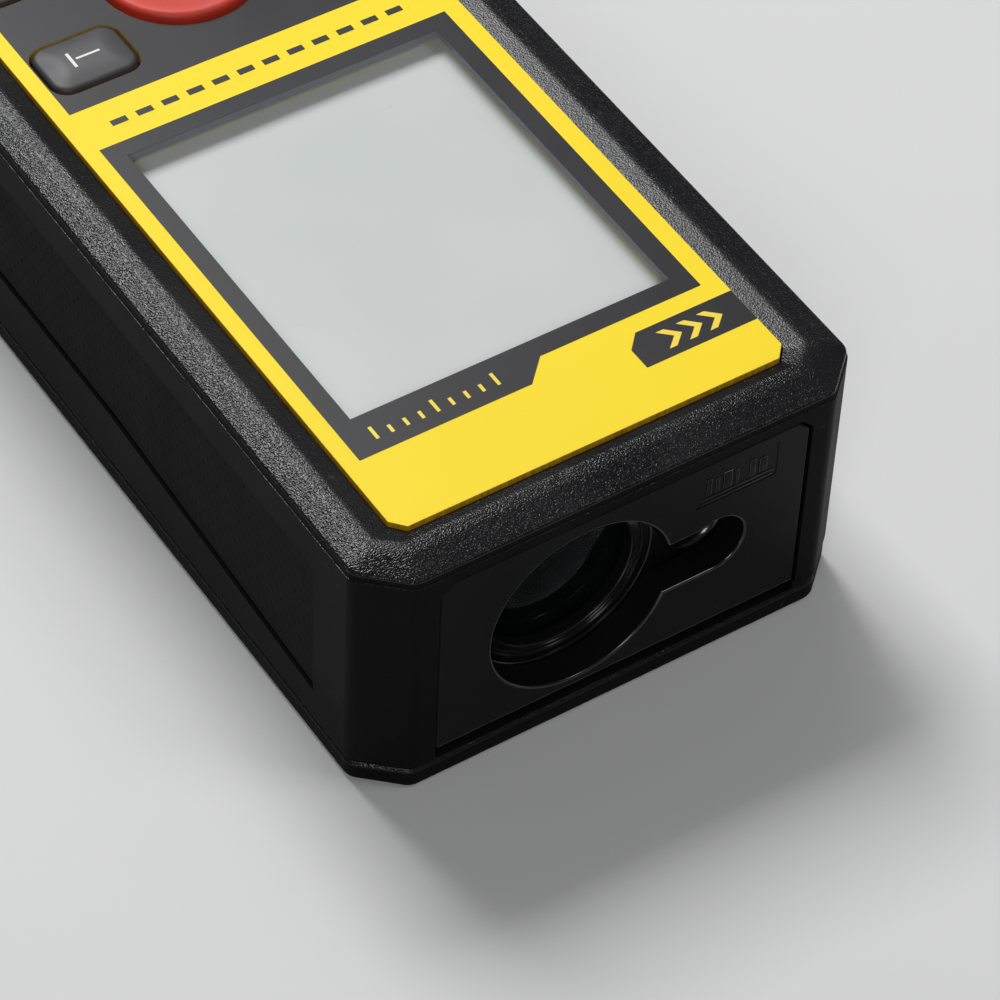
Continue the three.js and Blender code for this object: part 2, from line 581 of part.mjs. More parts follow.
function buildOptics() {
  addPart('front_bezel', frontBezel(), 'bezel');
  addPart('optics_chassis', opticsChassis(), 'casting');
  const ringFront = CHASSIS_FRONT + RETAINER.inset;
  const ring = cylinderY(RETAINER.radius, LENS.x, LENS.z, ringFront, ringFront + RETAINER.thick, 40);
  const eye = cylinderY(RETAINER.eye, LENS.x, LENS.z, CHASSIS_FRONT - 1, CHASSIS_FRONT + 2, 40);
  addPart('lens_ring', cut(ring, eye), 'bezel');
  const dome = RECEIVER_LENS;
  addPart('receiver_lens', convexLens(LENS, LENS.radius, dome.apex, dome.sagitta, LENS_SEAT - GAP), 'lens');

  const { radius, bore, y0, y1 } = LASER_TUBE;
  const tube = cylinderY(radius, EMITTER.x, EMITTER.z, y0, y1, 32);
  addPart('laser_tube', cut(tube, cylinderY(bore, EMITTER.x, EMITTER.z, y0 - 1, y1 + 1, 24)), 'brass');
  const { apex, sagitta, back } = LASER_LENS;
  addPart('laser_lens', convexLens(EMITTER, LASER_LENS.radius, apex, sagitta, back), 'lens');
  const diodeEnd = y1 - DIODE.gap;
  const diode = cylinderY(DIODE.radius, EMITTER.x, EMITTER.z, diodeEnd - DIODE.length, diodeEnd, 20);
  addPart('laser_diode', diode, 'steel');
  const { half, thick, gap } = LASER_BOARD;
  const [left, right] = [EMITTER.x - half, EMITTER.x + half];
  const laserBoard = box(left, right, y1 + gap, y1 + gap + thick, EMITTER.z - half, EMITTER.z + half);
  addPart('laser_board', laserBoard, 'board');

  const filterFront = BARREL_END + GAP;
  const filter = cylinderY(FILTER.radius, LENS.x, LENS.z, filterFront, filterFront + FILTER.thick, 24);
  addPart('optical_filter', filter, 'lens');
  const photodiode = cylinderY(PHOTODIODE.radius, LENS.x, LENS.z, PHOTODIODE.y0, PHOTODIODE.y1, 20);
  addPart('photodiode', photodiode, 'steel');
  buildReceiverBoard();
  buildChassisScrews();
}

function buildReceiverBoard() {
  const { halfWidth, y0, thick, z0, z1 } = RECEIVER_BOARD;
  addPart('receiver_board', box(LENS.x - halfWidth, LENS.x + halfWidth, y0, y0 + thick, z0, z1), 'board');
}

function buildChassisScrews() {
  for (const [side, x] of [['left', CHASSIS_SCREW.x], ['right', -CHASSIS_SCREW.x]]) {
    const { y, head, shank } = CHASSIS_SCREW;
    const screw = join(cylinderZ(head, x, y, EAR.z1 + GAP, 9.2, 16), cylinderZ(shank, x, y, 2.4, 8, 8));
    addPart(`chassis_screw_${side}`, cut(screw, cylinderZ(0.6, x, y, 8.4, 10, 6)), 'steel');
  }
}

// ---------------------------------------------------------------- electronics and power

function buildBoard() {
  const { halfWidth, y0, y1, top, under } = BOARD;
  addPart('main_board', box(-halfWidth, halfWidth, y0, y1, under, top), 'board');
  const solder = under - GAP;
  addPart('processor_chip', box(CHIP.x0, CHIP.x1, CHIP.y0, CHIP.y1, solder - CHIP.thick, solder), 'chip');
  addPart('buzzer', cylinderZ(BUZZER.radius, BUZZER.x, BUZZER.y, solder - BUZZER.thick, solder, 24), 'chip');
}

// direction 1 puts the positive end towards the hand end, -1 towards the laser end.
function cell(x, y0, direction) {
  const { radius, length, nub, nubLength } = CELL;
  const y1 = y0 + length;
  const [base, shoulder, tip] = direction > 0 ? [y0, y1 - nubLength, y1] : [y1, y0 + nubLength, y0];
  const chamfer = 0.4 * direction;
  return turnedY([
    [0, base], [radius - 0.4, base], [radius, base + chamfer],
    [radius, shoulder - chamfer], [radius - 0.4, shoulder], [nub, shoulder], [nub, tip], [0, tip],
  ], x, CELL.z, 24);
}

// A conical coil with a closed end at both tips.
class ContactCoil extends THREE.Curve {
  constructor(x, y0, y1) {
    super();
    Object.assign(this, { x, y0, y1 });
  }

  getPoint(t, target = new THREE.Vector3()) {
    const angle = 2 * Math.PI * CONTACT.turns * t;
    const radius = THREE.MathUtils.lerp(CONTACT.base, CONTACT.tip, t);
    const y = THREE.MathUtils.lerp(this.y0, this.y1, t);
    return target.set(this.x + radius * Math.cos(angle), y, CELL.z + radius * Math.sin(angle));
  }
}

function contactSpring(x, y0, y1) {
  const wire = new THREE.Shape();
  wire.absarc(0, 0, CONTACT.wire, 0, 2 * Math.PI, false);
  return solid(new THREE.ExtrudeGeometry(wire, {
    extrudePath: new ContactCoil(x, y0, y1),
    steps: 40,
    curveSegments: 3,
    bevelEnabled: false,
  }));
}

function contactPlate(x, y0) {
  const { half, thick } = CONTACT;
  return box(x - half, x + half, y0, y0 + thick, CELL.z - half, CELL.z + half);
}

function buildPower() {
  const frontPlate = BAY.y0 + GAP;
  const rearPlate = BAY.y1 - GAP - CONTACT.thick;
  const rightCell = frontPlate + CONTACT.thick + GAP;
  const leftCell = rearPlate - GAP - CELL.length;
  const clear = CONTACT.wire + GAP;
  addPart('battery_right', cell(-CELL.x, rightCell, -1), 'cell');
  addPart('contact_plate_right', contactPlate(-CELL.x, frontPlate), 'steel');
  const rightSpring = contactSpring(-CELL.x, BAY.y1 - clear, rightCell + CELL.length + clear);
  addPart('contact_spring_right', rightSpring, 'steel');
  addPart('battery_left', cell(CELL.x, leftCell, 1), 'cell');
  addPart('contact_plate_left', contactPlate(CELL.x, rearPlate), 'steel');
  addPart('contact_spring_left', contactSpring(CELL.x, BAY.y0 + clear, leftCell - clear), 'steel');
}

buildCase();
buildFace();
buildKeypad();
buildOptics();
buildBoard();
buildPower();

export default meter;
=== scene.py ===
"""Looks for the laser distance meter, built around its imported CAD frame.

Pieces are built in millimetres, in the frame's own axes, and scaled to metres when they are placed.
+Z is up out of the display, -Y the way the laser leaves, +X the user's left.
"""

from math import asin, cos, degrees, radians, sin, sqrt, tau

import bmesh
import bpy
from mathutils import Matrix, Vector


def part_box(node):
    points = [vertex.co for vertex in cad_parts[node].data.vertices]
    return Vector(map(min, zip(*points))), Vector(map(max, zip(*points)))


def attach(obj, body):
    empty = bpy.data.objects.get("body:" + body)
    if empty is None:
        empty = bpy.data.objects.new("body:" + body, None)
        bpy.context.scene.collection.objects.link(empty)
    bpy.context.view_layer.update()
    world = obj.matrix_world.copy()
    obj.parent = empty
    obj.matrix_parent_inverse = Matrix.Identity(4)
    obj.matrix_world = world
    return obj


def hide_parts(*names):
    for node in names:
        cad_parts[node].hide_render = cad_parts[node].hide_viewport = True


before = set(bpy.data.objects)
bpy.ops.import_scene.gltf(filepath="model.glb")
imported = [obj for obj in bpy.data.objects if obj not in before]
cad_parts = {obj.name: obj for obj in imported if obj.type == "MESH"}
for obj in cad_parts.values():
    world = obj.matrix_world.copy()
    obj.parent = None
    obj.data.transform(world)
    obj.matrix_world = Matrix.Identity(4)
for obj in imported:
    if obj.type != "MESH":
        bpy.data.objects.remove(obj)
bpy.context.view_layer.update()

MM = 0.001

# ---- sizes, in millimetres

CORNER_X = 4.1  # corner cuts of the case in plan
CORNER_Y = 3.8
CORNER_SHRINK = 2 - sqrt(2)  # chamfer lost per mm of inset
EDGE_REACH = 0.7  # how far the rounding of a plan corner reaches
RIDGE_SIDE = 3.25  # how far in the crest of the rim runs, at the sides and at the ends
RIDGE_END = 3.83
WALL = 1.9
WALL_TOP = 25.5  # height of the fine step below the rim
RIM_EDGE = 26.35  # height at which the bevel of the rim starts
POCKET_FLOOR = 25.7
POCKET_LIP = 26.75
POCKET_GAP = 0.12
DECK_UNDER = 24.2
CHASSIS_FRONT = -52.7
PANEL_CHAMFER = (1.15, 1.3)
PRINT_LIFT = 0.025  # thickness of the printed layers
WINDOW_LAP = 0.3  # how far the black print laps over the edge of the pane
GAP = 0.3  # clearance round keys, grips and inner pieces
SLOT_BOTTOM = 10.6  # the slot between the two round openings of the bezel
SLOT_TOP = 16.3
EMITTER_OPENING = 3.1  # radii of those openings
LENS_OPENING = 9.05
PLAQUE = (7.0, 15.3, 19.4, 23.6)  # shallow panel pressed into the bezel: two X values, then two heights
SHELL_SCREW = (20.6, 49.4)  # how far the shell screws are from the middle
CHASSIS_SCREW = (16.8, -43)  # X on either side, and Y
RAISE = 0.03  # height of the raised bars on the bezel
KEY_FLANGE = 0.7  # how far a key's flange stands out round its cap, and how thick it is
KEY_CORNER = 1.6
ARC_STEPS = 6  # steps round each rounded corner


def span(node):
    """Lowest and highest corner of a CAD node, in millimetres."""
    low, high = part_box(node)
    return low / MM, high / MM


CASE_LOW, CASE_HIGH = span("front_shell")
HALF = CASE_HIGH.x
END = CASE_HIGH.y
PANEL_LOW, PANEL_HIGH = span("face_panel")
PANE_LOW, PANE_HIGH = span("display_window")
BEZEL_LOW, BEZEL_HIGH = span("front_bezel")
LENS_LOW, LENS_HIGH = span("receiver_lens")
LENS_CENTRE = (LENS_LOW + LENS_HIGH) / 2
TUBE_LOW, TUBE_HIGH = span("laser_tube")
TUBE_CENTRE = (TUBE_LOW + TUBE_HIGH) / 2
GRIPS = ((1, "side_grip_left"), (-1, "side_grip_right"))
SMALL_KEYS = ("area", "reference", "plus", "minus", "memory", "units", "clear")

# ---- materials


class Nodes:
    """A short way to write a node material."""

    def __init__(self, name):
        self.material = bpy.data.materials.new(name)
        self.material.use_nodes = True
        self.tree = self.material.node_tree
        self.tree.nodes.clear()
        self.out = self.add("ShaderNodeOutputMaterial")
        self.place = self.add("ShaderNodeTexCoord").outputs["Object"]

    def add(self, kind, inputs=(), **settings):
        """Adds a node. inputs is pairs of a socket's name or number, and what feeds it."""
        node = self.tree.nodes.new(kind)
        for key, value in settings.items():
            setattr(node, key, value)
        for key, value in inputs:
            self.feed(node.inputs[key], value)
        return node

    def feed(self, socket, value):
        """Links another socket to this one, or sets it to a number, a vector or an opaque colour."""
        if isinstance(value, tuple):
            socket.default_value = (*value, 1)[:len(socket.default_value)]
        elif isinstance(value, (int, float)):
            socket.default_value = value
        else:
            self.tree.links.new(value, socket)

    def noise(self, per_mm, detail=2.0, stretch=None):
        """Noise with about per_mm features to the millimetre."""
        source = self.place
        if stretch:
            mapping = self.add("ShaderNodeMapping", [("Scale", stretch), ("Vector", source)])
            source = mapping.outputs["Vector"]
        inputs = [("Scale", per_mm / MM), ("Detail", detail), ("Vector", source)]
        return self.add("ShaderNodeTexNoise", inputs).outputs["Fac"]

    def cells(self, per_mm):
        inputs = [("Scale", per_mm / MM), ("Vector", self.place)]
        return self.add("ShaderNodeTexVoronoi", inputs).outputs["Distance"]

    def ramp(self, value, low, high, out_low, out_high):
        """Maps low to high onto out_low to out_high, and holds the ends."""
        keys = ("Value", "From Min", "From Max", "To Min", "To Max")
        inputs = zip(keys, (value, low, high, out_low, out_high))
        return self.add("ShaderNodeMapRange", inputs).outputs["Result"]

    def blend(self, factor, first, second):
        """Mixes two colours, each a socket or a triple."""
        color_a, color_b, color_out = 6, 7, 2
        inputs = [("Factor", factor), (color_a, first), (color_b, second)]
        return self.add("ShaderNodeMix", inputs, data_type="RGBA").outputs[color_out]

    def mottle(self, value, dark, light):
        """Two shades of a colour, mixed softly by a noise."""
        return self.blend(self.ramp(value, 0.3, 0.7, 0, 1), dark, light)

    def combine(self, operation, first, second):
        return self.add("ShaderNodeMath", enumerate((first, second)), operation=operation).outputs[0]

    def bump(self, height, depth_mm):
        return self.add("ShaderNodeBump", [("Distance", depth_mm * MM), ("Height", height)]).outputs["Normal"]

    def surface(self, color, roughness, normal, **fixed):
        """Principled surface. color and roughness may be sockets, everything in fixed is a plain number."""
        inputs = [("Base Color", color), ("Roughness", roughness), ("Normal", normal)]
        inputs += [(key.replace("_", " "), value) for key, value in fixed.items()]
        shader = self.add("ShaderNodeBsdfPrincipled", inputs)
        self.feed(self.out.inputs["Surface"], shader.outputs["BSDF"])


def moulded_plastic(name, shades, roughness, grain_per_mm, grain_depth, specular, dust):
    """Black moulded plastic: spark-eroded grain, cloudy gloss and a few specks of dust."""
    n = Nodes(name)
    cloud = n.noise(0.12, detail=3)
    speck = n.ramp(n.cells(0.32), 0.0, 0.09, dust, 0.0)
    base = n.blend(n.ramp(cloud, 0.35, 0.65, 0, 1), *shades)
    color = n.blend(speck, base, (0.35, 0.34, 0.32))
    grain = n.noise(grain_per_mm, detail=0.5)
    gloss = n.ramp(cloud, 0.3, 0.7, roughness - 0.04, roughness + 0.04)
    rough = n.combine("ADD", gloss, n.ramp(grain, 0, 1, -0.05, 0.05))
    normal = n.bump(grain, grain_depth)
    n.surface(color, rough, normal, Specular_IOR_Level=specular)
    return n.material


def dotted_rubber(name):
    n = Nodes(name)
    cloud = n.noise(0.2, detail=3)
    grain = n.noise(9, detail=2)
    color = n.blend(n.ramp(cloud, 0.35, 0.65, 0, 1), (0.009, 0.009, 0.010), (0.012, 0.012, 0.013))
    n.surface(color, n.ramp(cloud, 0.3, 0.7, 0.62, 0.75), n.bump(grain, 0.012), Specular_IOR_Level=0.04)
    return n.material


def printed_panel(name):
    """Yellow satin face plate."""
    n = Nodes(name)
    cloud = n.noise(0.06, detail=2)
    peel = n.noise(2.2, detail=2)
    color = n.mottle(cloud, (0.93, 0.70, 0.018), (0.95, 0.72, 0.024))
    n.surface(color, n.ramp(peel, 0.3, 0.7, 0.46, 0.54), n.bump(peel, 0.003), Specular_IOR_Level=0.2)
    return n.material


def panel_side_painted_shade(name):
    """Cut edge of the face plate, painted a darker gold as painted shade, with fine drag marks along its
    height.
    """
    n = Nodes(name)
    drag = n.noise(3, detail=3, stretch=(1, 1, 0.2))
    # The darker gold is painted shade for the plate's sides.
    color = n.mottle(drag, (0.45, 0.23, 0.005), (0.68, 0.41, 0.013))
    n.surface(color, 0.35, n.bump(drag, 0.01), Specular_IOR_Level=0.5)
    return n.material


def printed_ink(name, dark, light):
    """Screen-printed ink: a faint mesh pattern and a cloudy satin gloss."""
    n = Nodes(name)
    cloud = n.noise(0.1, detail=3)
    mesh = n.noise(6, detail=2)
    color = n.mottle(cloud, dark, light)
    rough = n.ramp(cloud, 0.3, 0.7, 0.33, 0.40)
    n.surface(color, rough, n.bump(mesh, 0.002), Specular_IOR_Level=0.25)
    return n.material


def clear_pane(name, tint=(1.0, 1.0, 1.0), gloss=0.1, coating=(1.0, 1.0, 1.0), ior=1.45):
    """Clear sheet that lets light straight through and reflects by its angle."""
    n = Nodes(name)
    smear = n.noise(0.15, detail=3)
    through = n.add("ShaderNodeBsdfTransparent", [("Color", tint)])
    rough = n.ramp(smear, 0.35, 0.65, gloss * 0.95, gloss * 1.05)
    mirror = n.add("ShaderNodeBsdfGlossy", [("Color", coating), ("Roughness", rough)])
    fresnel = n.add("ShaderNodeFresnel", [("IOR", ior)])
    outside = n.combine("SUBTRACT", 1, n.add("ShaderNodeNewGeometry").outputs["Backfacing"])
    share = n.combine("MULTIPLY", fresnel.outputs["Fac"], outside)
    shaders = enumerate((share, through.outputs["BSDF"], mirror.outputs["BSDF"]))
    mix = n.add("ShaderNodeMixShader", shaders)
    n.feed(n.out.inputs["Surface"], mix.outputs["Shader"])
    return n.material


def display_glass(name):
    """Blank reflective display: pale grey green, with faint cloud and a few tiny specks."""
    n = Nodes(name)
    cloud = n.noise(0.045, detail=2)
    speck = n.ramp(n.cells(0.16), 0.0, 0.035, 0.35, 0.0)
    base = n.mottle(cloud, (0.52, 0.557, 0.543), (0.575, 0.603, 0.594))
    color = n.blend(speck, base, (0.3, 0.31, 0.31))
    n.surface(color, 0.3, n.bump(n.noise(7), 0.001), Specular_IOR_Level=0.3)
    return n.material


def metal(name, dark, light, roughness, stretch=(1, 1, 1)):
    """Metal with brushing or casting texture, drawn out along one axis by stretch."""
    n = Nodes(name)
    lines = n.noise(6, detail=3, stretch=stretch)
    cloud = n.noise(0.3, detail=2)
    color = n.mottle(cloud, dark, light)
    rough = n.ramp(lines, 0.3, 0.7, roughness - 0.06, roughness + 0.08)
    n.surface(color, rough, n.bump(lines, 0.004), Metallic=1.0)
    return n.material


def solder_mask(name):
    """Green circuit board with a grid of tracks under the mask."""
    n = Nodes(name)
    inputs = [("Scale", 0.35 / MM), ("Mortar Size", 0.06), ("Vector", n.place)]
    track = n.add("ShaderNodeTexBrick", inputs)
    color = n.blend(track.outputs["Fac"], (0.012, 0.095, 0.035), (0.04, 0.2, 0.08))
    n.surface(color, n.ramp(n.noise(1.5), 0.3, 0.7, 0.25, 0.4), n.bump(track.outputs["Fac"], 0.03))
    return n.material


def satin_silicone(name, dark, light, roughness=0.5):
    n = Nodes(name)
    cloud = n.noise(0.25, detail=3)
    grain = n.noise(8, detail=2)
    color = n.mottle(cloud, dark, light)
    n.surface(color, n.ramp(cloud, 0.3, 0.7, roughness - 0.04, roughness + 0.06), n.bump(grain, 0.006))
    return n.material


def cell_sleeve(name):
    """Plain printed cell sleeve with a lighter band near one end."""
    n = Nodes(name)
    split = n.add("ShaderNodeSeparateXYZ", [("Vector", n.place)])
    band = n.combine("LESS_THAN", split.outputs["Y"], 0.016)
    color = n.blend(band, (0.03, 0.12, 0.25), (0.55, 0.56, 0.57))
    n.surface(color, n.ramp(n.noise(0.5), 0.3, 0.7, 0.25, 0.35), n.bump(n.noise(4), 0.003), Metallic=0.4)
    return n.material


def pale_floor(name):
    n = Nodes(name)
    cloud = n.noise(0.01, detail=3)
    color = n.mottle(cloud, (0.66, 0.66, 0.66), (0.70, 0.70, 0.70))
    n.surface(color, 0.6, n.bump(n.noise(0.8), 0.02), Specular_IOR_Level=0.2)
    return n.material


DEEP_BLACK = ((0.005, 0.005, 0.0055), (0.007, 0.007, 0.0075))
HIGHLIGHT_EDGE_BLACK = ((0.006, 0.006, 0.0065), (0.009, 0.009, 0.0095))
GRAIN_BLACK = ((0.008, 0.008, 0.009), (0.011, 0.011, 0.012))

LOOK = {
    # The walls take a darker black than the rim of the same moulding: painted shade.
    "housing": moulded_plastic("housing_wall_painted_shade", DEEP_BLACK, 0.5, 6.0, 0.015, specular=0.03, dust=0.06),
    "rim": moulded_plastic("housing_grain", GRAIN_BLACK, 0.18, 7.0, 0.058, specular=0.22, dust=0.1),
    "margin": moulded_plastic("housing_margin", GRAIN_BLACK, 0.2, 7.0, 0.03, specular=0.22, dust=0.1),
    "bezel": moulded_plastic("bezel_satin", DEEP_BLACK, 0.34, 7.0, 0.003, specular=0.06, dust=0.04),
    # A glossier, slightly lighter black for the edges round openings: painted highlight.
    "edge": moulded_plastic("edge_painted_highlight", HIGHLIGHT_EDGE_BLACK, 0.2, 5.0, 0.002, specular=0.7, dust=0.05),
    "grip": dotted_rubber("grip_rubber"),
    "panel": printed_panel("panel_yellow"),
    "panel_side_painted_shade": panel_side_painted_shade("panel_edge_painted_shade"),
    "ink": printed_ink("ink_black", (0.018, 0.018, 0.020), (0.023, 0.023, 0.027)),
    "ink_yellow": printed_ink("ink_yellow", (0.9, 0.66, 0.06), (0.95, 0.72, 0.08)),
    "ink_white": printed_ink("ink_white", (0.72, 0.72, 0.7), (0.78, 0.78, 0.76)),
    "clear": clear_pane("pane_clear"),
    "display": display_glass("display_grey"),
    "white": satin_silicone("white_moulding", (0.62, 0.62, 0.66), (0.7, 0.7, 0.72)),
    # Lavender grey on the walls round the display window is painted shade, not ink.
    "shade": printed_ink("window_edge_painted_shade", (0.20, 0.20, 0.25), (0.25, 0.25, 0.30)),
    "measure": satin_silicone("measure_red", (0.52, 0.028, 0.012), (0.60, 0.038, 0.016)),
    "key": satin_silicone("key_grey", (0.030, 0.030, 0.033), (0.040, 0.040, 0.044)),
    "silicone": satin_silicone("sheet_black", (0.018, 0.018, 0.018), (0.024, 0.024, 0.024)),
    "board": solder_mask("board_green"),
    "chip": satin_silicone("chip_black", (0.012, 0.012, 0.013), (0.018, 0.018, 0.019), 0.4),
    "brass": metal("tube_turned", (0.20, 0.20, 0.205), (0.30, 0.30, 0.31), 0.28, stretch=(0.2, 4, 0.2)),
    "steel": metal("steel_plated", (0.48, 0.49, 0.50), (0.58, 0.59, 0.60), 0.25),
    "lens": clear_pane("lens_coated", (0.93, 0.985, 0.97), 0.05, (0.78, 0.92, 0.9), 1.2),
    "cell": cell_sleeve("cell_sleeve"),
    "label": metal("label_brushed", (0.42, 0.43, 0.44), (0.5, 0.51, 0.52), 0.35, stretch=(0.05, 1, 1)),
}

# ---- mesh building, in millimetres


def softened(corners, reach, steps, closed=True):
    """Replaces each corner of an outline by a short quadratic curve.

    reach is one length, or a tuple of one for each corner.
    """
    points = []
    corners = [Vector(corner) for corner in corners]
    count = len(corners)
    reaches = reach if isinstance(reach, tuple) else (reach,) * count
    for i, (corner, reach) in enumerate(zip(corners, reaches)):
        if not closed and i in (0, count - 1):
            points.append(corner.copy())
            continue
        before, after = corners[i - 1], corners[(i + 1) % count]
        start = corner.lerp(before, min(0.3, reach / (corner - before).length))
        stop = corner.lerp(after, min(0.3, reach / (corner - after).length))
        for step in range(steps + 1):
            t = step / steps
            points.append(start.lerp(corner, t).lerp(corner.lerp(stop, t), t))
    return points


def cut_rectangle(x, y, cx, cy):
    """Rectangle with half sizes x and y whose corners are cut by cx and cy."""
    return [
        (x, -y + cy), (x, y - cy), (x - cx, y), (-x + cx, y),
        (-x, y - cy), (-x, -y + cy), (-x + cx, -y), (x - cx, -y),
    ]


def case_outline(side, end):
    """Plan of the case, moved in by side at its long sides and by end at its ends."""
    cx = CORNER_X - CORNER_SHRINK * side
    cy = CORNER_Y - CORNER_SHRINK * end
    return softened(cut_rectangle(HALF - side, END - end, cx, cy), EDGE_REACH, ARC_STEPS)


def panel_corners(grow=0.0):
    """Plan of the face plate, moved out by grow."""
    cx, cy = (chamfer + CORNER_SHRINK * grow for chamfer in PANEL_CHAMFER)
    return cut_rectangle(PANEL_HIGH.x + grow, PANEL_HIGH.y + grow, cx, cy)


def add_object(name, data):
    """A new object in the scene for a mesh, curve, light or camera."""
    added = bpy.data.objects.new(name, data)
    bpy.context.scene.collection.objects.link(added)
    return added


def mesh_object(name, points, faces):
    mesh = bpy.data.meshes.new(name)
    mesh.from_pydata([tuple(point) for point in points], [], faces)
    bm = bmesh.new()
    bm.from_mesh(mesh)
    bmesh.ops.recalc_face_normals(bm, faces=bm.faces)
    bm.to_mesh(mesh)
    bm.free()
    return add_object(name, mesh)


def ring_sides(levels, count, first=0, looped=False):
    """Quads between rings of count points each. looped joins the last ring to the first."""
    faces = []
    for level in range(levels - (0 if looped else 1)):
        low = first + level * count
        high = first + (level + 1) % levels * count
        for i in range(count):
            j = (i + 1) % count
            faces.append((low + i, low + j, high + j, high + i))
    return faces


def skin(name, rings, looped=False):
    """Skins rings of equal point counts into one closed body."""
    count = len(rings[0])
    points = [point for ring in rings for point in ring]
    faces = ring_sides(len(rings), count, looped=looped)
    if not looped:
        faces.append(tuple(reversed(range(count))))
        faces.append(tuple(range((len(rings) - 1) * count, len(rings) * count)))
    return mesh_object(name, points, faces)


def case_loft(name, profile):
    """Skins the case outline up a profile of (side inset, end inset, height)."""
    rings = []
    for side, end, height in profile:
        rings.append([(point.x, point.y, height) for point in case_outline(side, end)])
    return skin(name, rings)


def turn_point(centre, axis, radius, height, angle):
    across, up = radius * cos(angle), radius * sin(angle)
    if axis == "Z":
        return centre[0] + across, centre[1] + up, height
    return centre[0] + across, height, centre[2] + up


def turned(name, profile, centre, axis="Z", sides=64):
    """Turns (radius, height) points about an axis through centre. The profile starts and ends on the axis."""
    points, faces = [], []
    rings = []
    for radius, height in profile:
        ring = []
        for i in range(1 if radius == 0 else sides):
            ring.append(len(points))
            points.append(turn_point(centre, axis, radius, height, tau * i / sides))
        rings.append(ring)
    for low, high in zip(rings, rings[1:]):
        for i in range(sides):
            j = (i + 1) % sides
            face = []
            for index in (low[i % len(low)], low[j % len(low)], high[j % len(high)], high[i % len(high)]):
                if index not in face:
                    face.append(index)
            if len(face) > 2:
                faces.append(face)
    return mesh_object(name, points, faces)


def pin(name, radius, low, high, x, y, sides):
    """An upright cylinder, for cutting and joining."""
    return turned(name, [(0, low), (radius, low), (radius, high), (0, high)], (x, y, 0), sides=sides)


def turned_ring(name, profile, centre, axis="Y", sides=96):
    """Turns a closed profile that doesn't reach the axis."""
    rings = []
    for i in range(sides):
        angle = tau * i / sides
        rings.append([turn_point(centre, axis, radius, height, angle) for radius, height in profile])
    return skin(name, rings, looped=True)


def evaluated_mesh(source):
    """The mesh that a curve, or a piece with its modifiers, comes out as."""
    bpy.context.view_layer.update()
    return bpy.data.meshes.new_from_object(source.evaluated_get(bpy.context.evaluated_depsgraph_get()))


def plate(name, outline, holes, low, high, bevel=0.0, plane="XY", bevel_steps=2):
    """A flat plate with holes and rounded edges, drawn in plane and thick from low to high."""
    curve = bpy.data.curves.new(name, "CURVE")
    curve.dimensions = "2D"
    curve.fill_mode = "BOTH"
    for loop in [outline, *holes]:
        spline = curve.splines.new("POLY")
        spline.points.add(len(loop) - 1)
        for point, place in zip(spline.points, loop):
            point.co = (place[0], place[1], 0, 1)
        spline.use_cyclic_u = True
    curve.extrude = (high - low) / 2 - bevel
    curve.bevel_depth = bevel
    curve.bevel_resolution = bevel_steps
    curve.offset = -bevel
    holder = add_object(name, curve)
    mesh = evaluated_mesh(holder)
    bpy.data.objects.remove(holder)
    bpy.data.curves.remove(curve)
    bm = bmesh.new()
    bm.from_mesh(mesh)
    bmesh.ops.remove_doubles(bm, verts=bm.verts, dist=1e-4)
    bmesh.ops.recalc_face_normals(bm, faces=bm.faces)
    bm.to_mesh(mesh)
    bm.free()
    middle = (low + high) / 2
    if plane == "XY":
        mesh.transform(Matrix.Translation((0, 0, middle)))
    elif plane == "XZ":
        mesh.transform(Matrix(((1, 0, 0, 0), (0, 0, 1, middle), (0, 1, 0, 0), (0, 0, 0, 1))))
        mesh.flip_normals()
    else:
        mesh.transform(Matrix(((0, 0, 1, middle), (1, 0, 0, 0), (0, 1, 0, 0), (0, 0, 0, 1))))
    return add_object(name, mesh)


def arc(x, y, radius, start, stop, steps):
    """Points on an arc, with angles in degrees."""
    points = []
    for i in range(steps + 1):
        angle = radians(start + (stop - start) * i / steps)
        points.append((x + radius * cos(angle), y + radius * sin(angle)))
    return points


def circle(x, y, radius):
    return arc(x, y, radius, 0, 360, 64)[:-1]


def rounded_box(x0, x1, y0, y1, corner):
    if corner <= 0:
        return [(x0, y0), (x1, y0), (x1, y1), (x0, y1)]
    return [
        *arc(x0 + corner, y0 + corner, corner, 180, 270, ARC_STEPS),
        *arc(x1 - corner, y0 + corner, corner, 270, 360, ARC_STEPS),
        *arc(x1 - corner, y1 - corner, corner, 0, 90, ARC_STEPS),
        *arc(x0 + corner, y1 - corner, corner, 90, 180, ARC_STEPS),
    ]


def block(name, low, high):
    """A plain box between two corners, for cutting and joining."""
    points = [(x, y, z) for x in (low[0], high[0]) for y in (low[1], high[1]) for z in (low[2], high[2])]
    faces = [(0, 1, 3, 2), (4, 6, 7, 5), (0, 4, 5, 1), (2, 3, 7, 6), (0, 2, 6, 4), (1, 5, 7, 3)]
    return mesh_object(name, points, faces)


def merge(name, pieces):
    """Joins separate closed bodies into one mesh object."""
    bm = bmesh.new()
    for piece in pieces:
        bm.from_mesh(piece.data)
    mesh = bpy.data.meshes.new(name)
    bm.to_mesh(mesh)
    bm.free()
    for piece in pieces:
        bpy.data.objects.remove(piece)
    return add_object(name, mesh)


def apply_modifiers(piece):
    mesh = evaluated_mesh(piece)
    piece.modifiers.clear()
    piece.data = mesh


def carve(piece, cutters, operation="DIFFERENCE"):
    """Cuts, or joins, every cutter in turn, and removes them."""
    for cutter in cutters:
        modifier = piece.modifiers.new("carve", "BOOLEAN")
        modifier.operation = operation
        modifier.solver = "EXACT"
        modifier.object = cutter
        apply_modifiers(piece)
        bpy.data.objects.remove(cutter)


def round_edges(piece, width):
    """Rounds the edges sharper than 50 degrees in the mesh itself."""
    modifier = piece.modifiers.new("round", "BEVEL")
    modifier.width = width
    modifier.segments = 2
    modifier.limit_method = "ANGLE"
    modifier.angle_limit = radians(50)
    apply_modifiers(piece)


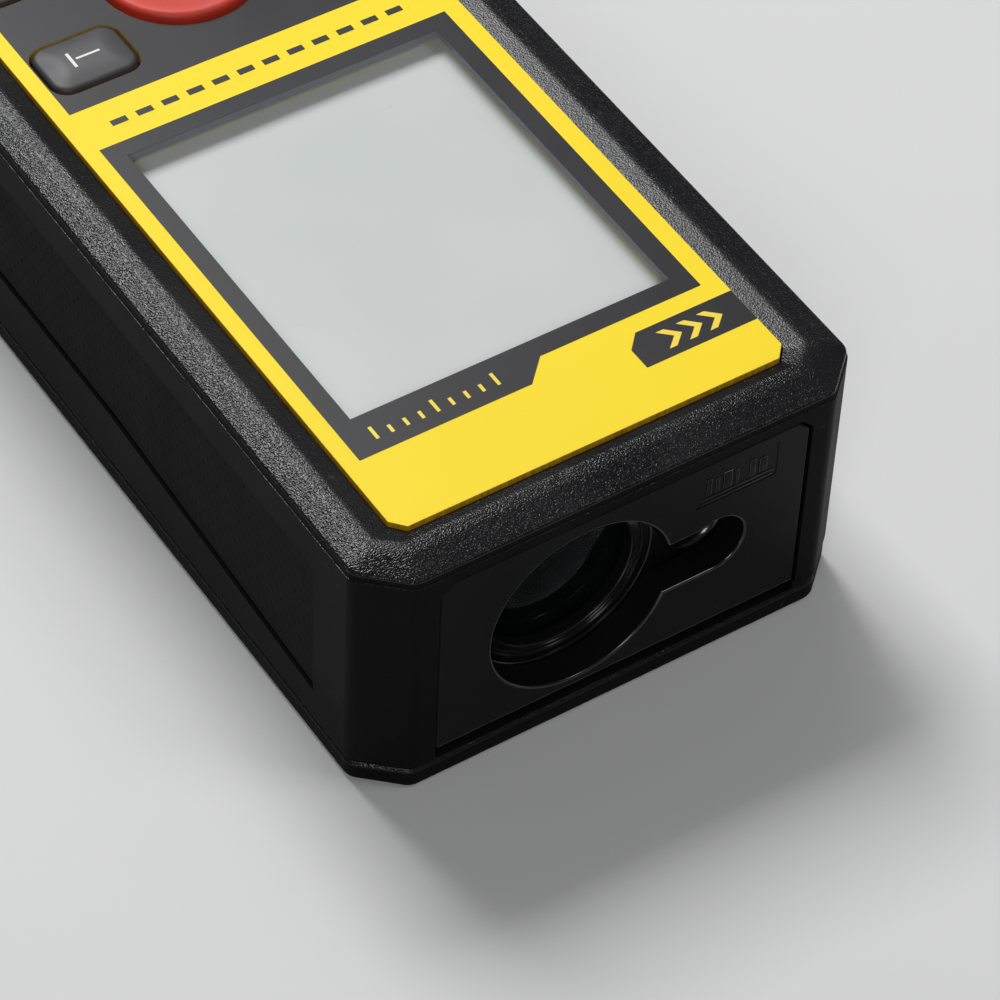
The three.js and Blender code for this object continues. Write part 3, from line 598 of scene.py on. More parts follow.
def dissolve_flat(piece):
    """Merges coplanar faces left by the cuts."""
    bm = bmesh.new()
    bm.from_mesh(piece.data)
    bmesh.ops.remove_doubles(bm, verts=bm.verts, dist=1e-4)
    bmesh.ops.dissolve_limit(bm, angle_limit=radians(0.5), verts=bm.verts, edges=bm.edges)
    bm.to_mesh(piece.data)
    bm.free()


def place(piece, slot, look, stands_for=(), body="case", sharp=30):
    """Scales a finished piece to metres, shades it and puts it on its body. A painted piece has no look."""
    piece.data.transform(Matrix.Scale(MM, 4))
    piece.data.shade_smooth()
    piece.data.set_sharp_from_angle(angle=radians(sharp))
    if look:
        piece.data.materials.append(LOOK[look])
    weighted = piece.modifiers.new("even_normals", "WEIGHTED_NORMAL")
    weighted.keep_sharp = True
    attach(piece, body)
    if stands_for:
        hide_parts(*stands_for)


def paint(piece, looks, *choosers):
    """Gives a piece its first look all over, and each further one to the faces that a chooser picks."""
    for name in looks:
        piece.data.materials.append(LOOK[name])
    for index, chooser in enumerate(choosers, 1):
        for polygon in piece.data.polygons:
            if chooser(polygon.center, polygon.normal):
                polygon.material_index = index


def place_with_edges(piece, slot, stands_for=()):
    """Satin plastic, with a glossier, slightly lighter black painted on the rounded edges round its openings
    as painted highlight.
    """
    half_width, top = 14.5, BEZEL_HIGH.z - 0.4

    def on_edge(centre, normal):
        return 0.06 < abs(normal.y) < 0.985 and abs(centre.x) < half_width and centre.z < top

    paint(piece, ("bezel", "edge"), on_edge)
    place(piece, slot, None, stands_for)


# ---- the case


def bezel_outline(left=0.0, right=0.0, top=0.0, bottom=0.0):
    """Front view of the bezel, a rectangle whose top corners are cut, grown by different amounts."""
    corner = 1.2
    x0, x1 = BEZEL_LOW.x - right, BEZEL_HIGH.x + left
    low, high = BEZEL_LOW.z - bottom, BEZEL_HIGH.z + top
    return [
        (x0, low), (x1, low), (x1, high - corner),
        (x1 - corner, high), (x0 + corner, high), (x0, high - corner),
    ]


def grip_outline(grow, low, high):
    """Side view of a grip, whose lower edge rises towards the middle."""
    middle = 12
    rise = 2.7
    y0, y1 = low.y - grow, high.y + grow
    z0, z1 = low.z - grow, high.z + grow
    return [(y0, z0), (-middle, z0 + rise), (middle, z0 + rise), (y1, z0), (y1, z1), (y0, z1)]


def key_hole(node, grow):
    """Plan of the opening for a key."""
    low, high = span(node)
    x, y = (low.x + high.x) / 2, (low.y + high.y) / 2
    half_x = (high.x - low.x) / 2 - KEY_FLANGE + grow
    half_y = (high.y - low.y) / 2 - KEY_FLANGE + grow
    if node == "measure_button":
        return circle(x, y, half_x)
    return rounded_box(x - half_x, x + half_x, y - half_y, y + half_y, KEY_CORNER + grow)


KEY_NODES = ["measure_button"] + ["key_" + name for name in SMALL_KEYS]


def on_rim(centre, normal):
    """The bevel and its crest, and the fine step below them. They keep the lighter grained black while the
    walls take a darker black of painted shade, and on the step the glossier black makes a painted highlight
    line.
    """
    bevel = centre.z > RIM_EDGE - 0.35 and normal.z > 0.2
    step = abs(centre.z - WALL_TOP) < 0.1 and normal.z > 0.4
    return bevel or step


def on_margin(centre, normal):
    """The smoother slope from the crest of the rim down to the face plate."""
    inside = abs(centre.x) < HALF - RIDGE_SIDE - 0.1 and abs(centre.y) < END - RIDGE_END - 0.1
    return inside and centre.z > POCKET_LIP - 0.1 and normal.z > 0.9


def build_front_case():
    """Upper case: walls, bevelled rim and pocket in one skin, with its cavity and openings cut out."""
    bottom = CASE_LOW.z
    walls = [
        (0.3, 0.3, bottom), (0, 0, bottom + 0.35), (0, 0, WALL_TOP), (0.1, 0.1, WALL_TOP + 0.02),
        (0.16, 0.16, RIM_EDGE), (RIDGE_SIDE - 1.0, RIDGE_END - 1.1, CASE_HIGH.z - 0.1),
        (RIDGE_SIDE, RIDGE_END, CASE_HIGH.z),
    ]
    reaches = (0, 0.28, 0.05, 0.03, 0.28, 0.35, 0.35, 0.06, 0)
    levels = [(case_outline(side, end), height) for side, end, height in walls]
    pocket = softened(panel_corners(POCKET_GAP), POCKET_GAP, ARC_STEPS)
    levels += [(pocket, POCKET_LIP), (pocket, POCKET_FLOOR)]
    columns = []
    for i in range(len(pocket)):
        column = [(outline[i].x, outline[i].y, height) for outline, height in levels]
        columns.append(softened(column, reaches, 4, closed=False))
    shell = skin("case_front", list(zip(*columns)))
    cavity = case_loft("cavity", [(WALL, WALL, bottom - 1), (WALL, WALL, DECK_UNDER)])
    seat_outline = bezel_outline(left=GAP, right=0.08, top=0.08, bottom=GAP)
    seat = plate("seat", seat_outline, [], -END - 1, CHASSIS_FRONT, plane="XZ")
    notch_low = (BEZEL_LOW.x, -END - 1, bottom - 1)
    notch = block("notch", notch_low, (BEZEL_HIGH.x, CHASSIS_FRONT, BEZEL_LOW.z + 1))
    margin = 2
    opening = block(
        "opening",
        (PANE_LOW.x - GAP - margin, PANE_LOW.y - GAP - margin, DECK_UNDER - 1),
        (PANE_HIGH.x + GAP + margin, PANE_HIGH.y + GAP + margin, POCKET_FLOOR + 1),
    )
    seats = []
    for side, node in GRIPS:
        inner, outer = sorted((side * (HALF - 1.1), side * (HALF + 1)))
        seats.append(plate("grip_seat", grip_outline(GAP, *span(node)), [], inner, outer, plane="YZ"))
    holes = [plate("hole", key_hole(node, GAP), [], DECK_UNDER - 1, POCKET_FLOOR + 1) for node in KEY_NODES]
    carve(shell, [cavity, seat, notch, opening, *seats, *holes])
    dissolve_flat(shell)
    round_edges(shell, 0.12)
    # Upward faces of the rim and the fine step get the lighter, glossier black; the darker walls are painted
    # shade and the step's line is painted highlight.
    paint(shell, ("housing", "rim", "margin"), on_rim, on_margin)
    place(shell, "housing", None, ["front_shell"])


def build_grips():
    """Soft side grips with staggered raised dots, which keep clear of the rising lower edge."""
    pitch_y, pitch_z = 1.5, 1.05
    end, slope, rise = 46.3, 34.3, 2.7
    clear = 0.7
    dot = [(0.32, -0.12), (0.30, 0.0), (0.2, 0.03), (0.1, 0.04)]
    for side, node in GRIPS:
        low, high = span(node)
        slab = plate("slab", grip_outline(0, low, high), [], low.x, high.x, bevel=0.12, plane="YZ")
        face = high.x if side > 0 else low.x
        points, faces = [], []
        rows, columns = int((high.z - low.z) / pitch_z), int((high.y - low.y - 1.6) / pitch_y)
        for row in range(rows):
            z = high.z - 0.9 - row * pitch_z
            shift = pitch_y / 2 if row % 2 else 0
            for column in range(columns):
                y = low.y + 1.0 + shift + column * pitch_y
                if z < low.z + rise * min(1, (end - abs(y)) / slope) + clear:
                    continue
                add_dot(points, faces, face, side, y, z, dot)
        dots = mesh_object("dots", points, faces)
        grip = merge(node.replace("side_grip", "grip"), [slab, dots])
        place(grip, "grip", "grip", [node])


def add_dot(points, faces, face, side, y, z, profile):
    """One closed dome that stands on a grip face at (y, z)."""
    sides = 8
    first = len(points)
    for radius, height in profile:
        for i in range(sides):
            angle = tau * i / sides
            points.append((face + side * height, y + radius * cos(angle), z + radius * sin(angle)))
    faces += ring_sides(len(profile), sides, first)
    faces.append(tuple(range(first, first + sides)))
    faces.append(tuple(range(len(points) - sides, len(points))))


# ---- face plate, print and window


def window_outline(grow):
    """The opening in the print is the CAD pane's gap larger than the pane."""
    x0, x1 = PANE_LOW.x - GAP - grow, PANE_HIGH.x + GAP + grow
    return rounded_box(x0, x1, PANE_LOW.y - GAP - grow, PANE_HIGH.y + GAP + grow, 0)


def on_side(centre, normal):
    return abs(normal.z) < 0.8


def round_window(centre, normal):
    """The cut sides of the face plate that stand round the display window, which get a lavender grey of
    painted shade.
    """
    near_x = PANE_LOW.x - 1 < centre.x < PANE_HIGH.x + 1
    near_y = PANE_LOW.y - 1 < centre.y < PANE_HIGH.y + 1
    return on_side(centre, normal) and near_x and near_y


def build_face():
    top = PANEL_HIGH.z
    holes = [window_outline(WINDOW_LAP)] + [key_hole(node, GAP) for node in KEY_NODES]
    face = plate("face_plate", panel_corners(), holes, PANEL_LOW.z, top, bevel=0.08)
    # The plate's sides take a darker gold of painted shade, and the walls round the window a lavender grey of
    # painted shade.
    paint(face, ("panel", "panel_side_painted_shade", "shade"), on_side, round_window)
    place(face, "panel", None, ["face_panel"])

    pane = plate("window_pane", window_outline(WINDOW_LAP - 0.05), [], PANE_LOW.z, PANEL_HIGH.z - 0.01)
    place(pane, "clear", "clear", ["display_window"])
    build_print(top)


def build_print(top):
    low, high = top, top + PRINT_LIFT
    frame_x0, frame_x1 = -18.1, 17.8
    frame_back, frame_front, frame_mid = 0.9, -42.55, -40.15
    step_x0, step_x1 = -1.07, 1.31
    outline = [
        (frame_x0, frame_front), (step_x0, frame_front), (step_x1, frame_mid), (frame_x1, frame_mid),
        (frame_x1, frame_back), (frame_x0, frame_back),
    ]
    border = plate("print_display_frame", outline, [window_outline(0)], low, high)
    place(border, "panel", "ink")

    edge = PANEL_HIGH.x - 0.06
    tag = [(edge, -45.95), (edge, -42.01), (9.75, -42.01), (8.3, -43.56), (8.31, -45.96)]
    place(plate("print_corner_tag", tag, [], low, high), "panel", "ink")

    zone_front = 6.2
    inset, corner = 1.6, 1.2
    x, y = PANEL_HIGH.x - inset, PANEL_HIGH.y - inset
    zone = [
        (-x, zone_front), (x, zone_front), (x, y - corner),
        (x - corner, y), (-x + corner, y), (-x, y - corner),
    ]
    holes = [key_hole(node, GAP) for node in KEY_NODES]
    place(plate("print_keypad_zone", zone, holes, low, high), "panel", "ink")

    def tick(x0, i):
        width, front = 0.32, -41.2
        return rounded_box(x0, x0 + width, front, front + (1.5 if i % 4 == 0 else 0.9), 0)

    def chevron(x0, i):
        arm, point, middle, half = 0.8, 1.2, -44.0, 1.1
        return [
            (x0, middle - half), (x0 + arm, middle - half), (x0 + arm + point, middle),
            (x0 + arm, middle + half), (x0, middle + half), (x0 + point, middle),
        ]

    def dash(x0, i):
        return rounded_box(x0, x0 + 1.6, 3.0, 3.7, 0)

    over = high + 0.01
    print_row("scale_ticks", "ink_yellow", tick, high, over, count=9, first=-15.6, pitch=1.5)
    print_row("corner_chevrons", "ink_yellow", chevron, high, over, count=3, first=11.2, pitch=2.1)
    print_row("dash_row", "ink", dash, low, high, count=12, first=-15.5, pitch=2.6)


def print_row(name, look, shape, low, high, count, first, pitch):
    """A row of printed marks. shape gives the outline of mark i from its lowest X."""
    marks = [plate("mark", shape(first + pitch * i, i), [], low, high) for i in range(count)]
    place(merge("print_" + name, marks), "panel", look)


# ---- keys


def build_keys():
    """The round measure button with its ring mark, then the small keys."""
    low, high = span("measure_button")
    x, y = (low.x + high.x) / 2, (low.y + high.y) / 2
    outer = (high.x - low.x) / 2
    radius = outer - KEY_FLANGE
    top = low.z + KEY_FLANGE
    profile = [
        (0, low.z), (outer - 0.1, low.z), (outer, low.z + 0.1), (outer, top - 0.1),
        (outer - 0.1, top), (radius, top), (radius, high.z - 0.75),
    ]
    rim = 0.65
    for i in range(7):
        angle = radians(90 * i / 6)
        profile.append((radius - rim + rim * cos(angle), high.z - rim + rim * sin(angle)))
    dish = 0.5
    for i in range(1, 9):
        r = (radius - rim) * (1 - i / 8)
        profile.append((r, high.z - dish * (1 - (r / (radius - rim)) ** 2)))
    cap = turned("measure_cap", profile, (x, y, 0), sides=96)
    place(cap, "measure", "measure", ["measure_button"], "measure_button_body")
    middle = high.z - dish
    ring = [(2.1, middle), (2.6, middle), (2.6, middle + 0.12), (2.1, middle + 0.12)]
    mark = turned_ring("measure_ring_mark", ring, (x, y, 0), axis="Z", sides=64)
    dot = pin("mark_dot", 0.6, middle - 0.1, middle + 0.08, x, y, 32)
    place(merge("measure_mark", [mark, dot]), "measure", "ink_white", body="measure_button_body")

    for name in SMALL_KEYS:
        build_small_key(name)


def build_small_key(name):
    """A cap with rounded top edges and a shallow crown, on a flange, with its symbol."""
    node = "key_" + name
    low, high = span(node)
    x, y = (low.x + high.x) / 2, (low.y + high.y) / 2
    crown = 0.25
    flange, corner = KEY_FLANGE, KEY_CORNER
    rings = []
    base_x, base_y = (high.x - low.x) / 2, (high.y - low.y) / 2
    cap_x, cap_y = base_x - flange, base_y - flange
    levels = [
        (base_x, base_y, low.z, corner + flange), (base_x, base_y, low.z + flange, corner + flange),
        (cap_x, cap_y, low.z + flange, corner), (cap_x, cap_y, high.z - crown - 0.55, corner),
    ]
    for i in range(6):
        angle = radians(90 * i / 5)
        inset = 0.5 * (1 - cos(angle))
        height = high.z - crown - 0.5 + 0.5 * sin(angle)
        levels.append((cap_x - inset, cap_y - inset, height, corner - inset))
    for i in range(1, 6):
        share = i / 6
        inset = 0.5 + (min(cap_x, cap_y) - 0.9) * share
        height = high.z - crown * (1 - share) ** 2
        levels.append((cap_x - inset, cap_y - inset, height, max(0.15, 1.1 * (1 - share))))
    for half_x, half_y, height, radius in levels:
        outline = rounded_box(x - half_x, x + half_x, y - half_y, y + half_y, radius)
        rings.append([(px, py, height) for px, py in outline])
    body = node + "_body"
    place(skin(node + "_cap", rings), "key", "key", [node], body, sharp=50)
    strokes = []
    for shape, holes in key_icon(name, x, y):
        strokes.append(plate("stroke", shape, holes, high.z - 0.06, high.z + 0.02))
    place(merge(node + "_icon", strokes), "key", "ink_white", body=body)


def key_icon(name, x, y):
    """Generic symbols, each a list of (outline, holes)."""
    pen = 0.22
    half = 1.2

    def box(x0, x1, y0, y1):
        return rounded_box(x + x0, x + x1, y + y0, y + y1, 0)

    def bar(x0, x1, y0, y1):
        return box(x0, x1, y0, y1), []

    cross = [
        (-half, -pen), (-pen, -pen), (-pen, -half), (pen, -half), (pen, -pen), (half, -pen),
        (half, pen), (pen, pen), (pen, half), (-pen, half), (-pen, pen), (-half, pen),
    ]
    cross = [(x + across, y + along) for across, along in cross]
    open_ring = arc(x, y, 1.15, -235, 55, 28) + arc(x, y, 0.88, 55, -235, 28)
    icons = {
        "plus": [(cross, [])],
        "minus": [bar(-half, half, -pen, pen)],
        "area": [(box(-half, half, -1.0, 1.0), [box(-0.95, 0.95, -0.75, 0.75)])],
        "reference": [bar(-1.5, -1.2, -1.0, 1.0), bar(-0.9, 1.5, -0.12, 0.12)],
        "memory": [bar(-1.2, 1.2, -0.95, -0.65), bar(-1.2, 1.2, -0.15, 0.15), bar(-1.2, 1.2, 0.65, 0.95)],
        "units": [
            bar(-1.6, 1.6, -0.7, -0.45), bar(-1.6, -1.35, -0.45, 0.6), bar(-0.62, -0.37, -0.45, 0.1),
            bar(0.37, 0.62, -0.45, 0.1), bar(1.35, 1.6, -0.45, 0.6),
        ],
        "clear": [(open_ring, []), bar(-0.13, 0.13, 0.25, 1.4)],
    }
    return icons[name]


# ---- laser end


def keyhole_outline():
    """Receiver opening and emitter opening joined by a slot, as one outline in X and Z."""
    lens_x, lens_z = LENS_CENTRE.x, LENS_CENTRE.z
    tube_x, tube_z = TUBE_CENTRE.x, TUBE_CENTRE.z
    low = degrees(asin((SLOT_BOTTOM - lens_z) / LENS_OPENING))
    high = degrees(asin((SLOT_TOP - lens_z) / LENS_OPENING))
    end_low = degrees(asin(max(-1, (SLOT_BOTTOM - tube_z) / EMITTER_OPENING)))
    end_high = 180 - degrees(asin((SLOT_TOP - tube_z) / EMITTER_OPENING))
    eye = arc(lens_x, lens_z, LENS_OPENING, high, 360 + low, 72)
    end = arc(tube_x, tube_z, EMITTER_OPENING, end_low, end_high, 36)
    return eye + end


def build_laser_end():
    """Bezel with its keyhole opening and the raised bars in its shallow panel."""
    front, back = BEZEL_LOW.y, BEZEL_HIGH.y
    bezel = plate("bezel_plate", bezel_outline(), [keyhole_outline()], front, back, 0.22, "XZ", bevel_steps=3)
    x0, x1, z0, z1 = PLAQUE
    plaque = plate("plaque", rounded_box(x0, x1, z0, z1, 0.3), [], front - 1, front + 0.05, plane="XZ")
    carve(bezel, [plaque])
    place_with_edges(bezel, "bezel", ["front_bezel"])

    bar_ends = ((8.0, 8.5), (8.9, 9.3), (9.7, 10.6), (11.0, 11.3), (12.4, 13.0), (13.4, 14.2))
    outlines = []
    for i, (left, right) in enumerate(bar_ends):
        outlines.append(rounded_box(left, right, z0 + 1.2, z0 + 3.2 - 0.3 * (i % 2), 0))
    for height in (0.25, 0.75):
        outlines.append(rounded_box(x0 + 0.4, x1 - 0.4, z0 + height, z0 + height + 0.16, 0))
    bars = [plate("bar", outline, [], front - RAISE, front + 0.1, 0.05, "XZ") for outline in outlines]
    place_with_edges(merge("bezel_raised_bars", bars), "bezel")
    build_lenses()


def dome(radius, apex, sagitta, trim, steps):
    """Profile of a lens face, from near its edge to the axis."""
    points = []
    for i in range(1, steps + 1):
        r = (radius - trim) * (1 - i / steps)
        points.append((r, apex + sagitta * (r / radius) ** 2))
    return points


def build_lenses():
    """Receiving lens with its retainer, and the laser sleeve with its lens."""
    radius = LENS_HIGH.x - LENS_CENTRE.x
    back_y, front_y = LENS_HIGH.y, LENS_LOW.y
    sagitta = 1.8
    profile = [(0, back_y), (radius - 0.2, back_y), (radius, back_y - 0.2), (radius, front_y + sagitta + 0.1)]
    profile += dome(radius, front_y, sagitta, 0.05, 16)
    glass = turned("receiver_lens_glass", profile, LENS_CENTRE, "Y", 96)
    place(glass, "lens", "lens", ["receiver_lens"])

    ring_low, ring_high = span("lens_ring")
    y0, y1 = ring_low.y, ring_high.y
    outer = (ring_high.x - ring_low.x) / 2
    eye = 7.35
    profile = [
        (outer, y1), (outer, y0 + 0.14), (outer - 0.05, y0 + 0.04), (outer - 0.16, y0), (8.5, y0 + 0.02),
        (8.42, y0 + 0.3), (8.3, y0 + 0.3), (eye + 0.42, y0 + 0.14), (eye + 0.22, y0 + 0.04),
        (eye + 0.1, y0 + 0.06), (eye + 0.03, y0 + 0.14), (eye, y0 + 0.3), (eye, y1),
    ]
    place_with_edges(turned_ring("lens_retainer", profile, LENS_CENTRE), "bezel", ["lens_ring"])

    outer = TUBE_HIGH.x - TUBE_CENTRE.x
    bore = 2.7
    y0, y1 = TUBE_LOW.y, TUBE_HIGH.y
    profile = [
        (outer, y1), (outer, y0 + 0.2), (outer - 0.15, y0 + 0.02), (bore + 0.2, y0),
        (bore + 0.05, y0 + 0.05), (bore, y0 + 0.2), (bore, y1),
    ]
    place(turned_ring("laser_sleeve", profile, TUBE_CENTRE), "brass", "brass", ["laser_tube"])

    low, high = span("laser_lens")
    centre = (low + high) / 2
    radius = high.x - centre.x
    sagitta = 0.5
    profile = [(0, high.y), (radius, high.y), (radius, low.y + sagitta + 0.05)]
    profile += dome(radius, low.y, sagitta, 0.02, 10)
    place(turned("laser_lens_glass", profile, centre, "Y", 48), "lens", "lens", ["laser_lens"])


def build_chassis():
    """Inner plate behind the bezel, with the ribbed receiver barrel, the laser boss and two screw ears."""
    low, high = span("optics_chassis")
    y0 = low.y
    barrel_end = high.y
    seat = -48.3  # where the lens sits in the barrel
    boss_end = -37
    half_width, thick = 15, 2.2
    barrel_radius, boss_radius = 9.6, 4.9
    ear_x, ear_y = 18.8, 2.5
    ear_low, ear_high = 5.9, 7.4
    screw_x, screw_y = CHASSIS_SCREW
    corners = rounded_box(-half_width, half_width, low.z, high.z, 0.8)
    chassis = plate("chassis_block", corners, [], y0, y0 + thick, bevel=0.15, plane="XZ")
    profile = [
        (0, y0 + 1), (barrel_radius, y0 + 1), (barrel_radius, seat + 0.3), (8.5, seat + 0.3),
        (2.7, barrel_end), (0, barrel_end),
    ]
    barrel = turned("barrel", profile, LENS_CENTRE, "Y", 96)
    profile = [
        (0, y0 + 1), (boss_radius, y0 + 1), (boss_radius, boss_end - 0.2), (boss_radius - 0.2, boss_end),
        (0, boss_end),
    ]
    boss = turned("boss", profile, TUBE_CENTRE, "Y", 64)
    web = block("web", (LENS_CENTRE.x, y0 + 1, 11), (TUBE_CENTRE.x, boss_end, 16))
    ear_outline = rounded_box(-ear_x, ear_x, screw_y - ear_y, screw_y + ear_y, 1.2)
    ears = plate("ears", ear_outline, [], ear_low, ear_high, bevel=0.2)
    carve(chassis, [barrel, boss, web, ears], "UNION")

    profile = [
        (0, y0 - 1), (9.36, y0 - 1), (9.36, y0), (9.27, y0 + 0.03), (9.19, y0 + 0.1), (9.15, y0 + 0.22),
        (9.15, y0 + 1.6), (8.7, y0 + 1.6), (8.7, seat), (7.6, seat),
    ]
    ribs = 16
    for i in range(ribs):
        start = seat + 0.3 + (barrel_end - seat - 1) * i / ribs
        stop = start + 0.7
        for y, step in ((start, 0), (start + 0.1, 0.3), (stop, 0.3), (stop + 0.1, 0)):
            profile.append((7.6 - 5.8 * (y - seat) / (barrel_end - seat) - step, y))
    profile += [(1.8, barrel_end - 0.2), (1.8, barrel_end + 1), (0, barrel_end + 1)]
    lens_bore = turned("lens_bore", profile, LENS_CENTRE, "Y", 96)
    profile = [
        (0, y0 - 1), (3.1, y0 - 1), (3.1, y0), (3.02, y0 + 0.05), (2.9, y0 + 0.17), (2.79, y0 + 0.33),
        (2.7, y0 + 0.52), (2.65, y0 + 0.7), (2.63, y0 + 0.8),
        (4, y0 + 0.8), (4, boss_end + 7), (0, boss_end + 7),
    ]
    laser_bore = turned("laser_bore", profile, TUBE_CENTRE, "Y", 64)
    hole_low, hole_high = ear_low - 0.9, ear_high + 0.6
    screw_holes = [pin("hole", 1.2, hole_low, hole_high, x, screw_y, 24) for x in (-screw_x, screw_x)]
    carve(chassis, [lens_bore, laser_bore, *screw_holes])
    place_with_edges(chassis, "casting", ["optics_chassis"])


# ---- back of the case


def build_rear_shell():
    """Shallow rear shell with the cell bay, the door slots, a label recess, posts and screw bosses."""
    low = span("rear_shell")[0]
    top = 2.2
    walls = [(0.5, 0.5, low.z), (0.1, 0.1, low.z + 0.4), (0.1, 0.1, top - 0.3), (0.4, 0.4, top)]
    shell = case_loft("case_rear", softened(walls, 0.25, 4, closed=False))
    bay_x, bay_y0, bay_y1, roof, wall = 12, 3.0, 51.8, 13.6, 1.3
    surround_x, door_x, slot_x, label_x = 16.3, 13, 14.1, 15.3
    door_y, outside = 1.9, END + 1
    added = [
        block("surround", (-surround_x, bay_y0 - wall, 0.5), (surround_x, bay_y1 + wall, 3.4)),
        block("bay", (-bay_x - wall, bay_y0 - wall, 1), (bay_x + wall, bay_y1 + wall, roof + wall)),
    ]
    removed = [
        block("cells", (-bay_x, bay_y0, -1), (bay_x, bay_y1, roof)),
        block("door_face", (-door_x, door_y, -1), (door_x, outside, 0.6)),
        block("door_slot", (-slot_x, door_y, 0.5), (slot_x, outside, 2.0)),
        block("door_end", (-slot_x, bay_y1 + wall + GAP, -1), (slot_x, outside, 3.2)),
        block("label_recess", (-label_x, -36.3, -1), (label_x, -7.7, 0.7)),
    ]
    screw_x, screw_y = SHELL_SCREW
    for x in (-screw_x, screw_x):
        for y in (-screw_y, screw_y):
            added.append(pin("boss", 2.4, 1, 3.4, x, y, 48))
            head = [(0, -1), (2.35, -1), (2.35, 0), (2.2, 0.15), (2.2, 1.6), (1.3, 1.6), (1.3, 4), (0, 4)]
            removed.append(turned("bore", head, (x, y, 0), sides=48))
    screw_x, screw_y = CHASSIS_SCREW
    for x in (-screw_x, screw_x):
        added.append(pin("post", 2.2, 1, 5.6, x, screw_y, 48))
        removed.append(pin("bore", 1.2, 1.6, 7, x, screw_y, 32))
    carve(shell, added, "UNION")
    carve(shell, removed)
    dissolve_flat(shell)
    round_edges(shell, 0.1)
    # The rounded top edge takes the lighter, glossier rim black: a painted highlight line.
    paint(shell, ("housing", "rim"), lambda c, n: abs(c.z - top + 0.15) < 0.17 and 0.1 < n.z < 0.97)
    place(shell, "housing", None, ["rear_shell"])


def build_screws():
    """Shell screws with domed heads and cross recesses."""
    shank, head = 0.95, 1.9
    long, wide = 1.0, 0.17
    for corner in ("front_left", "front_right", "rear_left", "rear_right"):
        node = "shell_screw_" + corner
        low, high = span(node)
        x, y = (low.x + high.x) / 2, (low.y + high.y) / 2
        profile = [
            (0, high.z), (shank - 0.2, high.z - 0.4), (shank, high.z - 1.2), (shank, low.z + 1.0),
            (head, low.z + 1.0), (head, low.z + 0.35), (1.75, low.z + 0.12), (1.35, low.z), (0, low.z),
        ]
        screw = turned("screw_" + corner, profile, (x, y, 0), sides=48)
        arms = []
        for half_x, half_y in ((long, wide), (wide, long)):
            arm_low = (x - half_x, y - half_y, low.z - 1)
            arms.append(block("arm", arm_low, (x + half_x, y + half_y, low.z + 0.7)))
        carve(screw, arms)
        place(screw, "steel", "steel", [node])


def build_cells():
    """Two cells laid head to tail, each a rounded can with a raised cap at its positive end."""
    nub, nub_length = 1.9, 0.8
    for node, forward in (("battery_left", 1), ("battery_right", -1)):
        low, high = span(node)
        radius = (high.x - low.x) / 2
        base, tip = (low.y, high.y) if forward > 0 else (high.y, low.y)
        shoulder = tip - forward * nub_length
        corners = [(0, base), (radius, base), (radius, shoulder), (nub, shoulder), (nub, tip), (0, tip)]
        reaches = (0, 0.6, 0.8, 0.15, 0.3, 0)
        profile = softened(corners, reaches, 5, closed=False)
        cell = turned(node.replace("battery", "cell"), profile, (low + high) / 2, "Y", 48)
        place(cell, "cell", "cell", [node])


# ---- carried-over CAD nodes

CARRIED = {
    "housing": ["battery_door"],
    "label": ["rear_label"],
    "display": ["lcd_glass"],
    "white": ["lcd_backlight", "lcd_frame"],
    "silicone": ["keypad_membrane"],
    "board": ["laser_board", "receiver_board", "main_board"],
    "chip": ["processor_chip", "buzzer"],
    "lens": ["optical_filter"],
    "steel": [
        "laser_diode", "photodiode", "chassis_screw_left", "chassis_screw_right",
        "contact_plate_left", "contact_plate_right", "contact_spring_left", "contact_spring_right",
    ],
}


def finish_carried():
    for look, nodes in CARRIED.items():
        for node in nodes:
            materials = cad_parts[node].data.materials
            materials.clear()
            materials.append(LOOK[look])


# ---- room, lights and camera


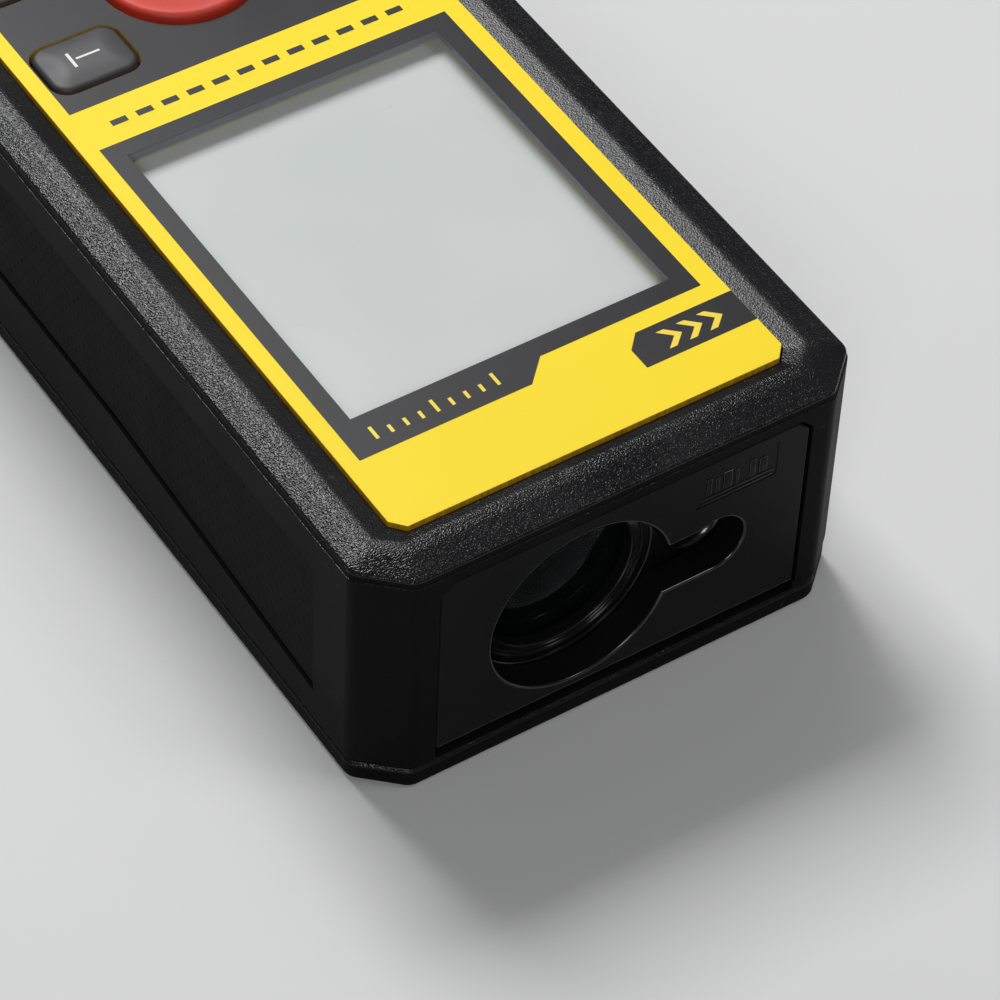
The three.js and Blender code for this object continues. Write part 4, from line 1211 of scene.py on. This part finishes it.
def build_room():
    size = 3.0
    corners = [(-size, -size, 0), (size, -size, 0), (size, size, 0), (-size, size, 0)]
    floor = mesh_object("floor", corners, [(0, 1, 2, 3)])
    floor.data.materials.append(pale_floor("floor_pale"))
    world = bpy.data.worlds.new("studio")
    world.use_nodes = True
    background = world.node_tree.nodes["Background"]
    background.inputs["Color"].default_value = (0.95, 0.97, 1.0, 1)
    background.inputs["Strength"].default_value = 0.1
    bpy.context.scene.world = world


def add_softbox(name, direction, distance, size, power):
    """A square lamp that faces the middle of the part."""
    light = bpy.data.lights.new(name, "AREA")
    light.shape = "RECTANGLE"
    light.size = size
    light.size_y = size
    light.energy = power
    lamp = add_object(name, light)
    aim = Vector(direction).normalized()
    middle = Vector((0, 0, 0.02))
    lamp.location = middle + aim * distance
    lamp.rotation_euler = aim.to_track_quat("Z", "Y").to_euler()


def build_lights():
    add_softbox("key", (0.03, 0.62, 0.79), 0.7, 0.27, 4.4)
    add_softbox("card", (0.42, 0.55, 0.72), 0.7, 0.3, 0.1)
    add_softbox("left_fill", (-0.46, -0.64, 0.61), 0.7, 0.2, 1.1)
    add_softbox("front_strip", (0.40, -0.42, 0.82), 0.7, 0.16, 0.5)
    add_softbox("right_strip", (0.29, 0.424, 0.857), 0.39, 0.07, 0.1)


def build_camera():
    """Camera of the picture: 35 degrees to the left of the laser end, 47.5 degrees up, slightly rolled."""
    spot = Vector((-156.476, -260.745, 304.827)) * MM
    azimuth, elevation, roll = (radians(a) for a in (-34.985, 47.488, 2.84))
    flat = cos(elevation)
    ahead = Vector((-sin(azimuth) * flat, cos(azimuth) * flat, -sin(elevation)))
    level = ahead.cross(Vector((0, 0, 1))).normalized()
    upright = level.cross(ahead)
    right = level * cos(roll) + upright * sin(roll)
    up = right.cross(ahead)
    data = bpy.data.cameras.new("camera")
    data.sensor_width = 36
    data.lens = 165.33
    data.clip_start = 0.01
    pose = Matrix((right, up, -ahead)).transposed().to_4x4()
    pose.translation = spot
    camera = add_object("camera", data)
    camera.matrix_world = pose
    bpy.context.scene.camera = camera


build_front_case()
build_grips()
build_face()
build_keys()
build_laser_end()
build_chassis()
build_rear_shell()
build_screws()
build_cells()
finish_carried()
build_room()
build_lights()
build_camera()
bpy.context.scene.view_settings.view_transform = "Standard"
